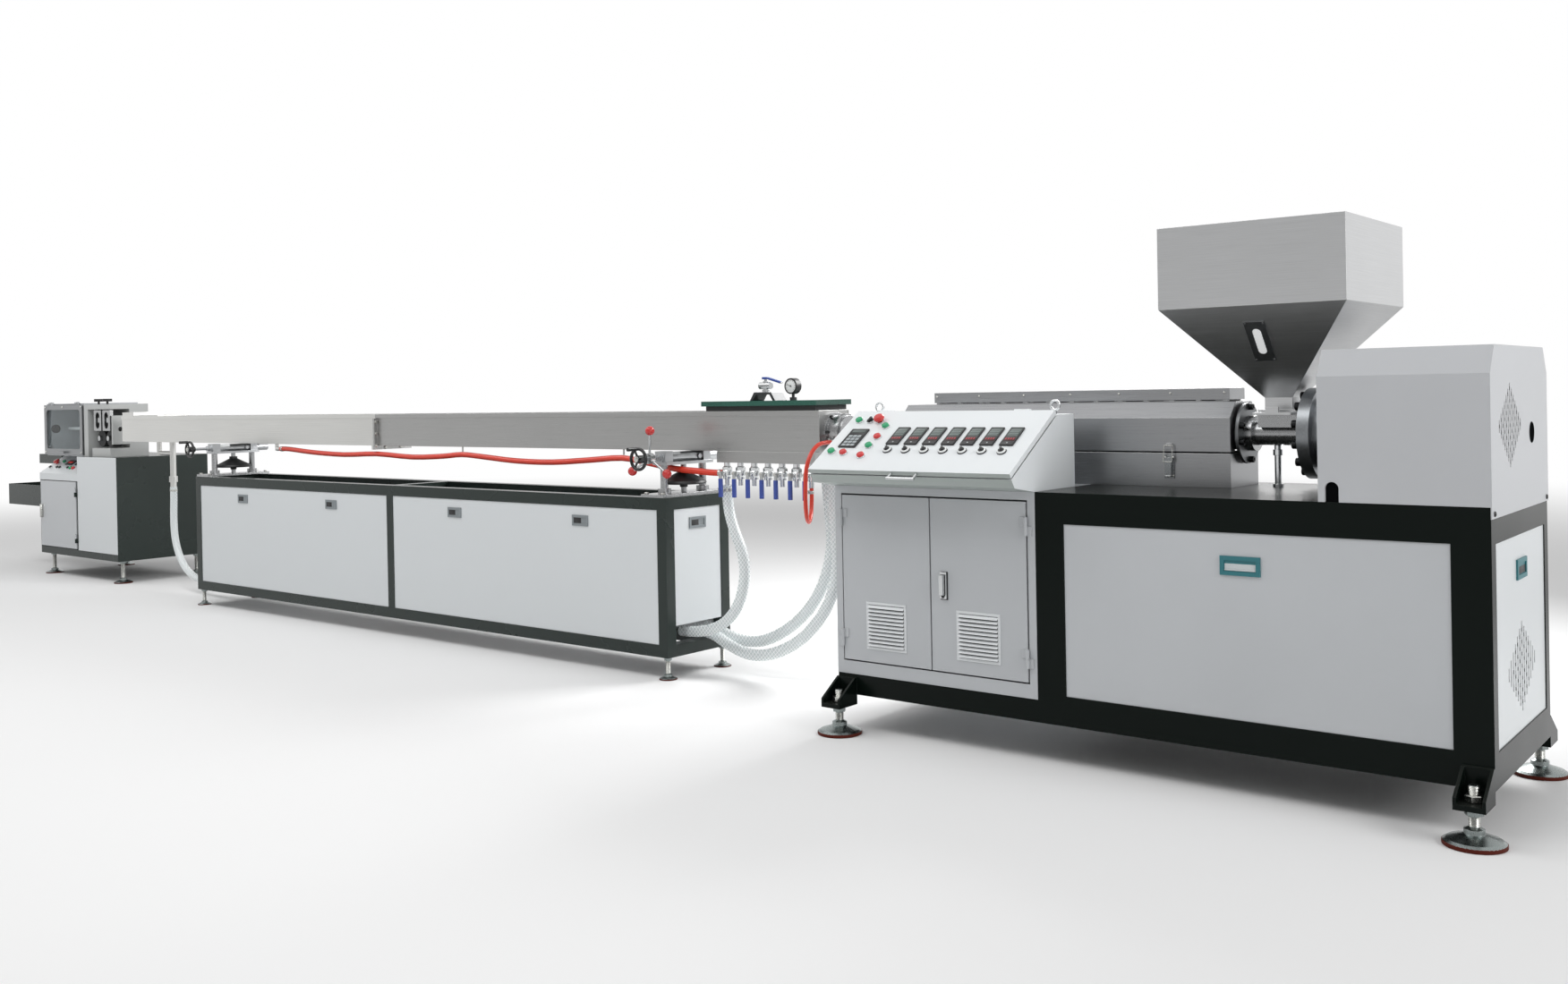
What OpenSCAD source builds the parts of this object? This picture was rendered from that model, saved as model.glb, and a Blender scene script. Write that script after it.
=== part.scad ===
// Bead extrusion line: screw extruder, water trough on its stand, puller with cutter.
// X runs along the line towards the drive end, -Y is the operator side, Z is up from the floor.

/* [Extruder base] */
// Length of the extruder base
base_length = 2040; // [1600:10:2600]
// Depth of the extruder base
base_depth = 680; // [500:10:900]
// Height of the table top above the floor
table_height = 834; // [700:1:900]
// Underside of the base above the floor
base_clear = 126; // [100:1:180]
// Width of the frame beside the side panels
frame_face = 95; // [60:1:120]
// Width of the frame beside the end panel
frame_end = 46; // [30:1:80]
// Depth of the frame members
frame_tube = 60; // [40:1:90]
// Height of the bottom rail below the panels
rail_height = 90; // [60:1:120]
// Height of the bottom rail below the control cabinet
cabinet_rail = 70; // [50:1:90]
// Thickness of the loose side panels
panel_thick = 20; // [4:1:40]
// How far a panel is set back from its frame
panel_set = 3; // [1:0.5:8]
// Seat gap around a loose panel
panel_gap = 0.3; // [0.1:0.1:0.8]
// Length of a recessed pull
pull_length = 114; // [80:1:160]
// Height of a recessed pull
pull_height = 54; // [40:1:80]
// Distance from a panel's top edge to the pull
pull_drop = 92; // [60:1:140]

/* [Gearbox cover] */
// Length of the gearbox cover
cover_length = 420; // [300:5:600]
// Height of the gearbox cover above the table
cover_height = 407; // [300:1:500]
// Height of the cover's sloped shoulders
shoulder_height = 72; // [40:1:120]
// Depth of the cover's sloped shoulders
shoulder_depth = 48; // [30:1:90]
// How far the end sheet hangs below the table
skirt_drop = 30; // [10:1:60]
// Sheet thickness of the end skirt
skirt_thick = 3; // [1:0.5:6]
// Width of the cable arch in the cover
arch_width = 36; // [20:1:60]
// Height of the cable arch
arch_height = 54; // [30:1:90]

/* [Barrel and feed] */
// Height of the screw axis above the table
axis_rise = 166; // [130:1:220]
// Distance of the screw axis behind the base front
axis_depth = 496; // [400:1:560]
// Diameter of the bearing flange
flange_dia = 276; // [200:1:320]
// Thickness of the bearing flange
flange_thick = 36; // [20:1:60]
// Diameter of the bearing neck behind the flange
bearing_neck_dia = 210; // [140:1:240]
// Length of the bearing neck
bearing_neck_length = 144; // [80:1:200]
// Diameter of the feed section
feed_dia = 76; // [60:1:100]
// Length of the feed section
feed_length = 165; // [100:1:200]
// Diameter of the collar on the feed section
collar_dia = 112; // [90:1:140]
// Length of the collar
collar_length = 25; // [20:1:60]
// Diameter of the barrel flange
barrel_flange_dia = 190; // [150:1:210]
// Thickness of the barrel flange
barrel_flange_thick = 10; // [8:1:40]
// Diameter of the barrel
barrel_dia = 104; // [80:1:108]
// How far the barrel reaches past the base
barrel_overhang = 20; // [10:1:60]
// Diameter of the heater bands
band_dia = 150; // [120:1:170]
// Number of heater bands
band_count = 4; // [2:1:6]
// Gap between two heater bands
band_gap = 60; // [20:1:90]
// Diameter of the die head
die_dia = 150; // [110:1:180]
// Length of the die head
die_length = 120; // [80:1:180]
// Side of the square feed block
feed_block = 116; // [90:1:140]
// Height of the feed block above the screw axis
feed_block_top = 58; // [45:1:80]
// Thickness of the slide gate
gate_thick = 8; // [4:1:14]
// Diameter of the cooling pipe
pipe_dia = 20; // [12:1:30]

/* [Hopper] */
// Side of the square hopper
hopper_side = 556; // [400:2:700]
// Height of the upright hopper wall
hopper_wall = 247; // [150:1:350]
// Height of the sloped hopper wall
hopper_taper = 273; // [200:1:400]
// Side of the hopper outlet
outlet_side = 84; // [60:1:100]
// Height of the hopper outlet
outlet_height = 44; // [40:1:70]
// Sheet thickness of the hopper
hopper_sheet = 3; // [2:0.5:6]
// Width of the sight window plate
window_width = 62; // [40:1:90]
// Length of the sight window plate
window_length = 150; // [100:1:190]
// Distance of the sight window below the hopper shoulder
window_drop = 60; // [20:1:120]

/* [Heater cover] */
// Distance of the heater cover from the base end
jacket_inset = 15; // [5:1:60]
// Width of the heater cover
jacket_width = 230; // [210:1:300]
// Height of the lower half
jacket_low = 106; // [80:1:120]
// Height of the upper half's upright wall
jacket_high = 111; // [80:1:140]
// Height and depth of the sloped shoulder
jacket_slope = 49; // [30:1:60]
// Sheet thickness of the heater cover
jacket_sheet = 4; // [2:0.5:6]
// Seam between the two halves
jacket_seam = 5; // [5:0.5:10]
// Gap beside the barrel flange
jacket_end_gap = 7; // [6:0.5:15]
// Inset of the ridge vent cap at the die end
cap_inset = 112; // [20:1:160]
// Inset of the ridge vent cap at the feed end
cap_end = 20; // [10:1:60]
// Height of the ridge vent cap
cap_height = 36; // [20:1:60]
// Air gap under the ridge vent cap
cap_gap = 6; // [3:0.5:12]
// Inset of the toggle latch at the feed end
latch_inset = 196; // [60:1:400]

/* [Control cabinet and console] */
// Length of the control cabinet
cabinet_length = 766; // [600:2:900]
// Sheet thickness of the cabinet and console
cabinet_sheet = 4; // [2:0.5:6]
// Width of the cabinet frame around the doors
door_margin = 26; // [15:1:50]
// Gap around a door
door_gap = 5; // [5:0.5:8]
// Depth of a folded door
door_depth = 18; // [10:1:30]
// Sheet thickness of a door
door_sheet = 3; // [1.5:0.5:5]
// Length of a louvre slot
louvre_length = 140; // [80:1:180]
// Spacing of the louvre slots
louvre_pitch = 18; // [12:1:24]
// Number of louvre slots
louvre_count = 8; // [4:1:10]
// How far the console stands out
console_reach = 150; // [100:1:220]
// Depth of the sloped console lid, seen from above
lid_run = 290; // [200:1:360]
// Height of the lid's front edge above the table
lid_front = 63; // [45:1:120]
// Rise of the console lid from front to back
lid_rise = 186; // [100:1:240]
// Depth of the flat top strip behind the lid
console_top = 125; // [60:1:180]
// Thickness of the console lid
lid_thick = 16; // [8:1:30]
// Gap under the console lid
lid_gap = 5; // [5:0.5:10]
// Side of a temperature controller
controller_width = 48; // [40:1:60]
// Height of a temperature controller
controller_height = 96; // [48:1:120]
// Spacing of the temperature controllers
controller_pitch = 71.3; // [62:0.1:74]
// Number of temperature controllers
controller_count = 7; // [3:1:7]

/* [Hinges] */
// Diameter of a hinge pin
pin_dia = 6; // [4:0.5:8]
// Diameter of a hinge knuckle
knuckle_dia = 12; // [10:0.5:16]
// Length of one hinge
hinge_length = 60; // [40:1:90]
// Running clearance around a pin
pin_gap = 0.06; // [0.02:0.01:0.1]
// Gap between a knuckle and the wall beside it
knuckle_gap = 0.3; // [0.2:0.1:1]

/* [Feet] */
// Diameter of an extruder foot pad
pad_dia = 148; // [100:1:180]
// Distance of the foot screw in front of the base
bracket_reach = 50; // [40:1:80]
// Distance of the foot screw from the base end
bracket_inset = 38; // [38:1:120]
// Diameter of an extruder foot screw
foot_screw = 26; // [16:1:36]
// Height of the bracket plate above the floor
bracket_height = 94; // [60:1:110]
// Diameter of a stand foot pad
stand_pad = 72; // [50:1:100]
// Diameter of a cutter foot pad
cutter_pad = 110; // [70:1:130]

/* [Trough stand] */
// Length of the stand
stand_length = 3752; // [2500:4:4500]
// Gap between the extruder base and the stand
stand_offset = 1040; // [900:5:1400]
// Distance of the stand behind the base front
stand_setback = 235; // [100:5:300]
// Depth of the stand
stand_depth = 380; // [300:5:500]
// Underside of the stand above the floor
stand_clear = 90; // [60:1:140]
// Depth of the stand top below the screw axis
stand_drop = 262; // [220:1:320]
// Side of the stand's square tubes
stand_tube = 50; // [30:1:70]
// Height of the open slot under the stand's end panel
end_slot = 75; // [40:1:140]

/* [Trough] */
// Length of the right trough section
trough_right_length = 2884; // [2000:4:3500]
// Length of the left trough section
trough_left_length = 2778; // [2000:4:3500]
// Gap between the extruder base and the trough
trough_offset = 378; // [330:2:500]
// Width of the trough
trough_width = 185; // [140:1:240]
// Height of the trough
trough_height = 161; // [120:1:200]
// Sheet thickness of the trough
trough_sheet = 4; // [2:0.5:6]
// Depth of the trough below the screw axis
trough_drop = 77; // [60:1:100]
// Height of the folded trough rim
rim_height = 20; // [10:1:30]
// How far the rim stands out
rim_out = 6; // [3:1:15]
// How far the joint flange stands out
joint_out = 20; // [10:1:30]
// Thickness of one joint flange
joint_thick = 12; // [6:1:20]
// Bore of the sizing flange
sizing_bore = 64; // [30:1:90]
// Length of the vacuum lid
vac_length = 566; // [400:2:800]
// Overhang of the lid glass
glass_over = 14; // [4:1:24]
// Thickness of the lid gasket
gasket_thick = 20; // [8:1:30]
// Thickness of the lid glass
glass_thick = 20; // [8:1:30]
// Number of water valves
valve_count = 7; // [3:1:7]
// Spacing of the water valves
valve_pitch = 72; // [60:1:72]
// Height of the water manifold
manifold_height = 46; // [30:1:60]
// Depth of the water manifold
manifold_depth = 48; // [44:1:70]
// Diameter of the drain pipe
drain_pipe = 36; // [30:1:60]
// Diameter of the return spigots
return_pipe = 38; // [24:1:44]

/* [Trough supports] */
// Distance of each support from the stand's end
support_inset = 75; // [70:1:300]
// Distance between the two posts of a support
post_spacing = 230; // [180:2:280]
// Diameter of a support post
post_dia = 32; // [20:1:45]
// Diameter of the cross tube
tube_dia = 44; // [30:1:60]
// Diameter of the lifting screw
screw_dia = 24; // [16:1:30]
// Diameter of a handwheel
wheel_dia = 96; // [80:1:200]
// Diameter of a handwheel rim
wheel_rim = 13; // [10:1:22]
// Diameter of a handwheel spindle
spindle_dia = 16; // [10:1:20]
// Diameter of a lifting wheel
lift_dia = 192; // [140:1:192]
// Distance from the trough's front to the handwheel
wheel_reach = 240; // [200:2:300]
// Length of a clamp arm
clamp_arm = 100; // [70:1:120]

/* [Cutter and puller] */
// Gap between the trough and the cutter cabinet
cutter_offset = 66; // [40:2:200]
// Length of the cutter cabinet
cutter_length = 1134; // [900:2:1400]
// Depth of the cutter cabinet
cutter_depth = 616; // [450:2:800]
// Distance from the line axis to the cutter's front
cutter_front = 106; // [60:1:200]
// Underside of the cutter cabinet above the floor
cutter_clear = 145; // [110:1:200]
// Depth of the cutter table below the screw axis
cutter_drop = 182; // [150:1:240]
// Height of the cutter's bottom rail
cutter_rail = 46; // [30:1:80]
// Length of the sloped control desk
desk_length = 580; // [400:2:700]
// Depth of the sloped control desk, seen from above
desk_run = 186; // [100:1:240]
// Rise of the sloped control desk
desk_rise = 121; // [60:1:180]
// Thickness of the cutter's front sheets
skin = 3; // [1:0.5:6]
// Sheet thickness of the cutter
cutter_sheet = 6; // [3:0.5:10]
// Width of the cutter cabinet's door
cutter_door_width = 540; // [350:2:600]
// Length of the cutter housing
guard_length = 580; // [400:2:700]
// Depth of the cutter housing
guard_depth = 360; // [250:2:500]
// Height of the cutter housing
guard_height = 357; // [250:1:400]
// Diameter of the cutter disc
disc_dia = 210; // [150:1:240]
// Diameter of a pull roller
roller_dia = 112; // [80:1:116]
// Width of a pull roller
roller_width = 60; // [40:1:90]
// Spacing of the pull rollers
roller_pitch = 124; // [118:1:150]
// Number of grooves around a pull roller
groove_count = 20; // [8:1:32]
// Length of the puller housing
puller_length = 370; // [320:2:460]
// Width of a roller slide
slide_width = 104; // [90:1:112]
// Height of a roller slide
slide_height = 136; // [110:1:150]
// Thickness of a roller slide
slide_thick = 22; // [12:1:30]
// Length of the discharge chute
chute_length = 900; // [500:5:1200]
// Width of the discharge chute
chute_width = 300; // [200:5:400]
// Height of the chute's floor above the floor
chute_height = 440; // [300:5:500]
// Height of the chute's walls
chute_wall = 150; // [80:1:200]
// How far the hood reaches over the chute
hood_length = 360; // [200:5:500]
// Height of the hood's skirt
hood_skirt = 66; // [30:1:100]

/* [Hoses] */
// Diameter of the clear drain hose
drain_dia = 42; // [36:1:66]
// Diameter of the clear overflow hose
overflow_dia = 44; // [20:1:46]
// Diameter of the clear return hoses
return_dia = 46; // [30:1:50]
// Diameter of the long red water hose
red_dia = 26; // [12:1:28]
// Diameter of the short red link hose
link_dia = 16; // [10:1:20]

/* [Hidden] */
$fn = 64;
e = 1;

// Finishes
dark_green = [0.12, 0.16, 0.15];
green_grey = [0.20, 0.24, 0.23];
light_grey = [0.73, 0.74, 0.75];
near_white = [0.86, 0.87, 0.88];
pale_grey = [0.66, 0.67, 0.66];
stainless = [0.70, 0.70, 0.70];
steel = [0.72, 0.72, 0.73];
dark_steel = [0.35, 0.36, 0.37];
chrome = [0.82, 0.82, 0.83];
black = [0.06, 0.06, 0.06];
red = [0.78, 0.10, 0.09];
clear_hose = [0.88, 0.90, 0.90];

axis_y = axis_depth;
axis_height = table_height + axis_rise;
stand_height = axis_height - stand_drop;
cutter_height = axis_height - cutter_drop;
trough_x1 = -base_length - trough_offset;
joint_x = trough_x1 - trough_right_length;
trough_x0 = joint_x - trough_left_length;
cutter_x1 = trough_x0 - cutter_offset;
cutter_x0 = cutter_x1 - cutter_length;
line_left = cutter_x0 - chute_length;
line_right = pad_dia/2 - bracket_inset;
cutter_y0 = axis_y - cutter_front;
cutter_y1 = cutter_y0 + cutter_depth;
handle_out = 26;
handle_dia = 9;
lid_angle = atan(lid_rise/lid_run);
line_front = -console_reach - handle_out*cos(lid_angle) + lid_thick/2*sin(lid_angle) - handle_dia/2;
line_back = cutter_y1;
mid_x = (line_left + line_right)/2;
mid_y = (line_front + line_back)/2;

cabinet_x1 = -base_length + cabinet_length;
cabinet_front = -2;
panel_z0 = base_clear + rail_height;
panel_z1 = table_height - frame_face;
panel_x0 = cabinet_x1 + frame_face;
panel_x1 = -frame_face;
cover_top = table_height + cover_height;
neck_x0 = -cover_length - bearing_neck_length;
flange_x0 = neck_x0 - flange_thick;
feed_x0 = flange_x0 - feed_length;
collar_x0 = feed_x0 - collar_length;
barrel_flange_x0 = collar_x0 - barrel_flange_thick;
jacket_x1 = barrel_flange_x0 - jacket_end_gap;
jacket_x0 = -base_length + jacket_inset;
jacket_length = jacket_x1 - jacket_x0;
band_length = (jacket_length - (band_count + 1)*band_gap)/band_count;
barrel_x0 = -base_length - barrel_overhang;
jacket_pin_y = axis_y + jacket_width/2 + knuckle_dia/2 + knuckle_gap;
latch_x = jacket_x1 - latch_inset;
jacket_hinge_x = [jacket_x0 + 120, jacket_x1 - 120 - hinge_length];
jacket_y0 = axis_y - jacket_width/2;
jacket_y1 = axis_y + jacket_width/2;
split_z = table_height + jacket_low;
jacket_shoulder = split_z + jacket_high;
jacket_top = jacket_shoulder + jacket_slope;
feed_mid = feed_x0 + feed_length/2;
feed_top = axis_height + feed_block_top;
outlet_z = feed_top + gate_thick;
taper_z = outlet_z + outlet_height;
hopper_z = taper_z + hopper_taper;
hopper_top = hopper_z + hopper_wall;
hopper_lean = (hopper_side - outlet_side)/2;
hopper_angle = atan(hopper_lean/hopper_taper);

door_x0 = -base_length + door_margin;
door_x1 = cabinet_x1 - door_margin;
cabinet_z0 = base_clear + cabinet_rail;
door_z0 = cabinet_z0 + door_margin + 18;
door_z1 = table_height - door_margin;
door_mid = (door_x0 + door_x1)/2;
door_pin_y = cabinet_front - 2 - knuckle_dia/2;
louvre_z = door_z0 + 60;

lid_length = norm([lid_run, lid_rise]);
lid_y0 = -console_reach;
lid_z0 = table_height + lid_front;
lid_y1 = lid_y0 + lid_run;
lid_z1 = lid_z0 + lid_rise;
console_back = lid_y1 + console_top;
console_z1 = lid_z1 - 14;
lid_pin = lid_length + 8;
lid_pin_y = lid_y0 + lid_pin*cos(lid_angle) + (lid_thick/2)*sin(lid_angle);
lid_pin_z = lid_z0 + lid_pin*sin(lid_angle) - (lid_thick/2)*cos(lid_angle);

stand_x1 = -base_length - stand_offset;
stand_x0 = stand_x1 - stand_length;
stand_y0 = stand_setback;
stand_y1 = stand_y0 + stand_depth;
stand_mid = (stand_x0 + stand_x1)/2;
stand_y = (stand_y0 + stand_y1)/2;
stand_panel_z0 = stand_clear + stand_tube;
stand_panel_z1 = stand_height - stand_tube;
support_x = [stand_x0 + support_inset, stand_x1 - support_inset];
trough_y0 = axis_y - trough_width/2;
trough_y1 = axis_y + trough_width/2;
trough_z0 = axis_height - trough_drop;
trough_z1 = trough_z0 + trough_height;
tube_z = trough_z0 - tube_dia/2 - 4;
head_z = tube_z - tube_dia/2 - 8;
wheel_y = trough_y0 - wheel_reach;
tube_y0 = stand_y - post_spacing/2 - 26;
clamp_y = tube_y0 - 69;
base_plate = 12;
gasket_z = trough_z1;
glass_z = gasket_z + gasket_thick;
vac_x1 = trough_x1 - 12;
vac_x0 = vac_x1 - vac_length;
manifold_z0 = trough_z0 - manifold_height;
manifold_y0 = trough_y0 - 8;
valve_y = trough_y0 + 14;
manifold_x1 = trough_x1 - 18;
manifold_x0 = manifold_x1 - valve_count*valve_pitch;

desk_x1 = cutter_x0 + desk_length;
desk_z0 = cutter_height - desk_rise;
desk_angle = atan(desk_rise/desk_run);
desk_y1 = cutter_y0 + desk_run;
guard_x0 = cutter_x0 + 10;
guard_x1 = guard_x0 + guard_length;
guard_y0 = cutter_y0 + 50;
guard_z1 = cutter_height + guard_height;
cutter_door_x0 = cutter_x0 + 16;
cutter_door_x1 = cutter_door_x0 + cutter_door_width;
cutter_door_z0 = cutter_clear + cutter_rail + 6;
cutter_door_z1 = desk_z0 - 50;
cutter_door_y = cutter_y0 - skin;
cutter_pin_y = cutter_door_y - 2 - knuckle_dia/2;
guard_pin_y = guard_y0 - 2 - knuckle_dia/2;
guard_pin_z = guard_z1 + knuckle_dia/2 - 2;
puller_x0 = guard_x1 + 20;
puller_x1 = puller_x0 + puller_length;
roller_x = [puller_x1 - 76 - roller_pitch, puller_x1 - 76];
roller_low = axis_height - roller_dia/2 - 4;
roller_high = axis_height + roller_dia/2 + 4;
puller_y0 = axis_y + 60;
puller_top = guard_z1 - 10;
slide_y0 = axis_y - roller_width/2 - 6 - slide_thick;
slide_z0 = axis_height - 10;
slide_z1 = slide_z0 + slide_height;
chute_y0 = axis_y + 40;
knob_screw = 14;

// Hose points from a trough end, at an axis height of 1000
function hung(x, points) = [for (p = points) [x + p.x, axis_y + p.y, p.z*axis_height/1000]];
drain_route = hung(trough_x0, [[470, 0, 640], [470, 0, 560], [474, -5, 450], [500, -13, 330],
    [568, -24, 228], [680, -38, 146], [840, -56, 102], [1000, -71, 108], [1140, -84, 145],
    [1230, -91, 170], [1310, -96, 178]]);
overflow_route = hung(trough_x1, [[-486, -78.5, 785], [-486, -78.5, 725], [-471, -83, 660],
    [-437, -90, 590], [-400, -95, 520], [-385, -98, 445], [-397, -101, 362], [-432, -104, 288],
    [-488, -108, 232], [-567, -112, 194], [-647, -116, 180], [-722, -116, 178]]);
outer_route = hung(trough_x1, [[-32, 24, 860], [-32, 24, 780], [-16, 19, 640], [-4, 10, 490],
    [-26, 2, 365], [-87, -5, 262], [-187, -10, 170], [-317, -16, 108], [-432, -22, 94], [-532, -28, 122],
    [-622, -33, 160], [-722, -36, 178]]);
inner_route = hung(trough_x1, [[-82, 60, 860], [-82, 60, 780], [-64, 54, 640], [-62, 49, 520],
    [-102, 46, 395], [-177, 43, 288], [-282, 39, 202], [-407, 36, 144], [-522, 34, 134], [-622, 34, 156],
    [-722, 34, 178]]);
red_route = hung(trough_x1, [[-3817, -76, 895], [-3732, -76, 895], [-3482, -81, 880], [-3182, -86, 872],
    [-2884, -91, 880], [-2582, -91, 868], [-2332, -91, 876], [-2186, -91, 886], [-2032, -91, 878],
    [-1782, -91, 862], [-1532, -91, 860], [-1282, -91, 874], [-1076, -96, 886], [-912, -111, 870],
    [-737, -120, 848], [-632, -106, 840], [-567, -88, 834], [-507.3, -78.5, 833]]);
link_route = hung(trough_x1, [[-54, -78.5, 785], [-54, -78.5, 743], [-42, -100, 686], [-13, -150, 661],
    [17, -201, 686], [29, -222, 745], [31, -223, 810], [32, -216, 870], [35, -192, 922], [39, -153, 954],
    [44, -106, 962], [46, -60, 962]]);

// Point on a smooth curve from p1 to p2
function between(p0, p1, p2, p3, t) = p1 + (p2 - p0)*t/2 + (2*p0 - 5*p1 + 4*p2 - p3)*t*t/2
    + (3*p1 - p0 - 3*p2 + p3)*t*t*t/2;
function curve(route, steps) = concat([for (i = [0:len(route) - 2], k = [0:steps - 1])
    between(route[max(i - 1, 0)], route[i], route[i + 1], route[min(i + 2, len(route) - 1)], k/steps)],
    [route[len(route) - 1]]);
// Direction of a hose at a point of its curve
function heading(route, path, i) = let (n = len(path) - 1, m = len(route) - 1,
    d = i == 0 ? route[1] - route[0] : i == n ? route[m] - route[m - 1] : path[i + 1] - path[i - 1])
    d/norm(d);

module box(x0, x1, y0, y1, z0, z1) {
    translate([x0, y0, z0]) cube([x1 - x0, y1 - y0, z1 - z0]);
}
module rod_x(y, z, d, x0, x1) {
    translate([x0, y, z]) rotate([0, 90, 0]) cylinder(d = d, h = x1 - x0);
}
module rod_y(x, z, d, y0, y1) {
    translate([x, y0, z]) rotate([-90, 0, 0]) cylinder(d = d, h = y1 - y0);
}
module rod_z(x, y, d, z0, z1) {
    translate([x, y, z0]) cylinder(d = d, h = z1 - z0);
}
// Section drawn in Y and Z, swept along X
module along_x(x0, x1, points) {
    translate([x0, 0, 0]) rotate([90, 0, 90]) linear_extrude(x1 - x0) polygon(points);
}
// Section drawn in X and Z, swept along Y
module along_y(y0, y1, points) {
    translate([0, y1, 0]) rotate([90, 0, 0]) linear_extrude(y1 - y0) polygon(points);
}
module placed() {
    translate([-mid_x, -mid_y, 0]) children();
}

// Round hose along a route
module hose(route, dia, steps) {
    sides = 10;
    path = curve(route, steps);
    n = len(path);
    rings = [for (i = [0:n - 1])
        let (along = heading(route, path, i), raw = cross(along, [1, -1, 1]), across = raw/norm(raw),
            up = cross(along, across))
        for (k = [0:sides - 1])
            path[i] + dia/2*(cos(k*360/sides)*across + sin(k*360/sides)*up)];
    walls = [for (i = [0:n - 2], k = [0:sides - 1])
        let (a = i*sides + k, b = i*sides + (k + 1)%sides)
        each [[a, a + sides, b], [b, a + sides, b + sides]]];
    ends = [[for (k = [0:sides - 1]) k], [for (k = [sides - 1:-1:0]) (n - 1)*sides + k]];
    polyhedron(points = rings, faces = concat(walls, ends));
}
// Upright slots in the outline of a diamond, cut along X
module vent_diamond(x0, x1, y, z, wide, high, pitch, slot) {
    rows = floor(wide/2/pitch);
    for (i = [-rows:rows])
        let (half = (high/2 - slot)*(1 - abs(i)/(rows + 1)))
            box(x0, x1, y + i*pitch - slot/2, y + i*pitch + slot/2, z - half, z + half);
}

// Fixed half of a hinge along Z: pin and lower knuckle
module pin_half() {
    cylinder(d = pin_dia, h = hinge_length);
    cylinder(d = knuckle_dia, h = hinge_length/2 - 0.3);
}
// Moving half of a hinge along Z: upper knuckle
module knuckle_half() {
    translate([0, 0, hinge_length/2]) difference() {
        cylinder(d = knuckle_dia, h = hinge_length/2 - 2);
        translate([0, 0, -e]) cylinder(d = pin_dia + 2*pin_gap, h = hinge_length);
    }
}
// Leaf of a hinge, cut clear of the pin
module leaf(x0, x1, y0, y1, z0, z1) {
    difference() {
        box(x0, x1, y0, y1, z0, z1);
        translate([0, 0, z0 - e]) cylinder(d = pin_dia + 2*pin_gap, h = z1 - z0 + 2*e);
    }
}

// Corner bracket that holds a levelling screw in front of a frame
module bracket() {
    w = 76;
    rib = 8;
    back = 90;
    difference() {
        union() {
            translate([-w/2, -2*bracket_reach, bracket_height]) cube([w, 2*bracket_reach, 14]);
            translate([-w/2, -12, bracket_height]) cube([w, 12 + e, back]);
            for (x = [-w/2, w/2 - rib])
                translate([x, 0, 0]) along_x(0, rib, [[-2*bracket_reach, bracket_height],
                    [-2*bracket_reach, bracket_height + 30], [-12, bracket_height + back - 2],
                    [-6, bracket_height]]);
        }
        translate([0, -bracket_reach, 0]) cylinder(d = foot_screw + 0.4, h = bracket_height + back);
    }
}

module extruder_base() placed() color(dark_green) {
    difference() {
        box(-base_length, 0, 0, base_depth, base_clear, table_height);
        box(-base_length - e, cabinet_x1, -e, base_depth + e, cabinet_z0, table_height + e);
        box(panel_x0 - frame_face + frame_tube, -frame_tube, frame_tube, base_depth - frame_tube,
            base_clear - e, table_height - 20);
        box(-base_length + frame_tube, cabinet_x1, frame_tube, base_depth - frame_tube,
            base_clear - e, cabinet_z0 + e);
        box(panel_x0, panel_x1, -e, base_depth + e, panel_z0, panel_z1);
        box(-frame_tube - e, e, frame_end, base_depth - frame_end, panel_z0, panel_z1);
    }
    for (x = [-bracket_inset, -base_length + bracket_inset]) {
        translate([x, 0, 0]) bracket();
        translate([x, base_depth, 0]) rotate([0, 0, 180]) bracket();
    }
}

// Panel that stands in an opening
module front_panel(x, y0, z0, z1) {
    box(x[0] + panel_gap, x[1] - panel_gap, y0, y0 + panel_thick, z0 + panel_gap, z1 - panel_gap);
}

module side_panels() placed() color(light_grey) {
    g = panel_gap;
    t = stand_tube;
    for (y = [panel_set, base_depth - panel_set - panel_thick])
        front_panel([panel_x0, panel_x1], y, panel_z0, panel_z1);
    difference() {
        box(-panel_set - panel_thick, -panel_set, frame_end + g, base_depth - frame_end - g,
            panel_z0 + g, panel_z1 - g);
        vent_diamond(-panel_set - panel_thick - e, -panel_set + e, base_depth/2, panel_z0 + 169,
            320, 260, 26, 10);
    }
    for (x = [[stand_x0 + t, stand_mid - t/2], [stand_mid + t/2, stand_x1 - t]],
        y = [stand_y0 + panel_set, stand_y1 - panel_set - panel_thick])
        front_panel(x, y, stand_panel_z0, stand_panel_z1);
    for (x = [stand_x0 + panel_set, stand_x1 - panel_set - panel_thick])
        box(x, x + panel_thick, stand_y0 + t + g, stand_y1 - t - g, stand_panel_z0 + end_slot,
            stand_panel_z1 - g);
    box(desk_x1 + g, cutter_x1, cutter_door_y, cutter_y0, cutter_clear + cutter_rail, cutter_height);
    along_x(cutter_x0, desk_x1, [[cutter_y0, cutter_door_z1 + door_gap], [cutter_y0, desk_z0],
        [desk_y1, cutter_height], [desk_y1 - skin/sin(desk_angle), cutter_height],
        [cutter_door_y, desk_z0 + skin*tan((90 - desk_angle)/2)],
        [cutter_door_y, cutter_door_z1 + door_gap]]);
}

// Recessed pull: raised frame, shallow pocket
module pull() {
    difference() {
        translate([-pull_length/2, -5, -pull_height/2]) cube([pull_length, 5, pull_height]);
        translate([-pull_length/2 + 12, -5 - e, -pull_height/2 + 12])
            cube([pull_length - 24, 4, pull_height - 24]);
    }
}

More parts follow.
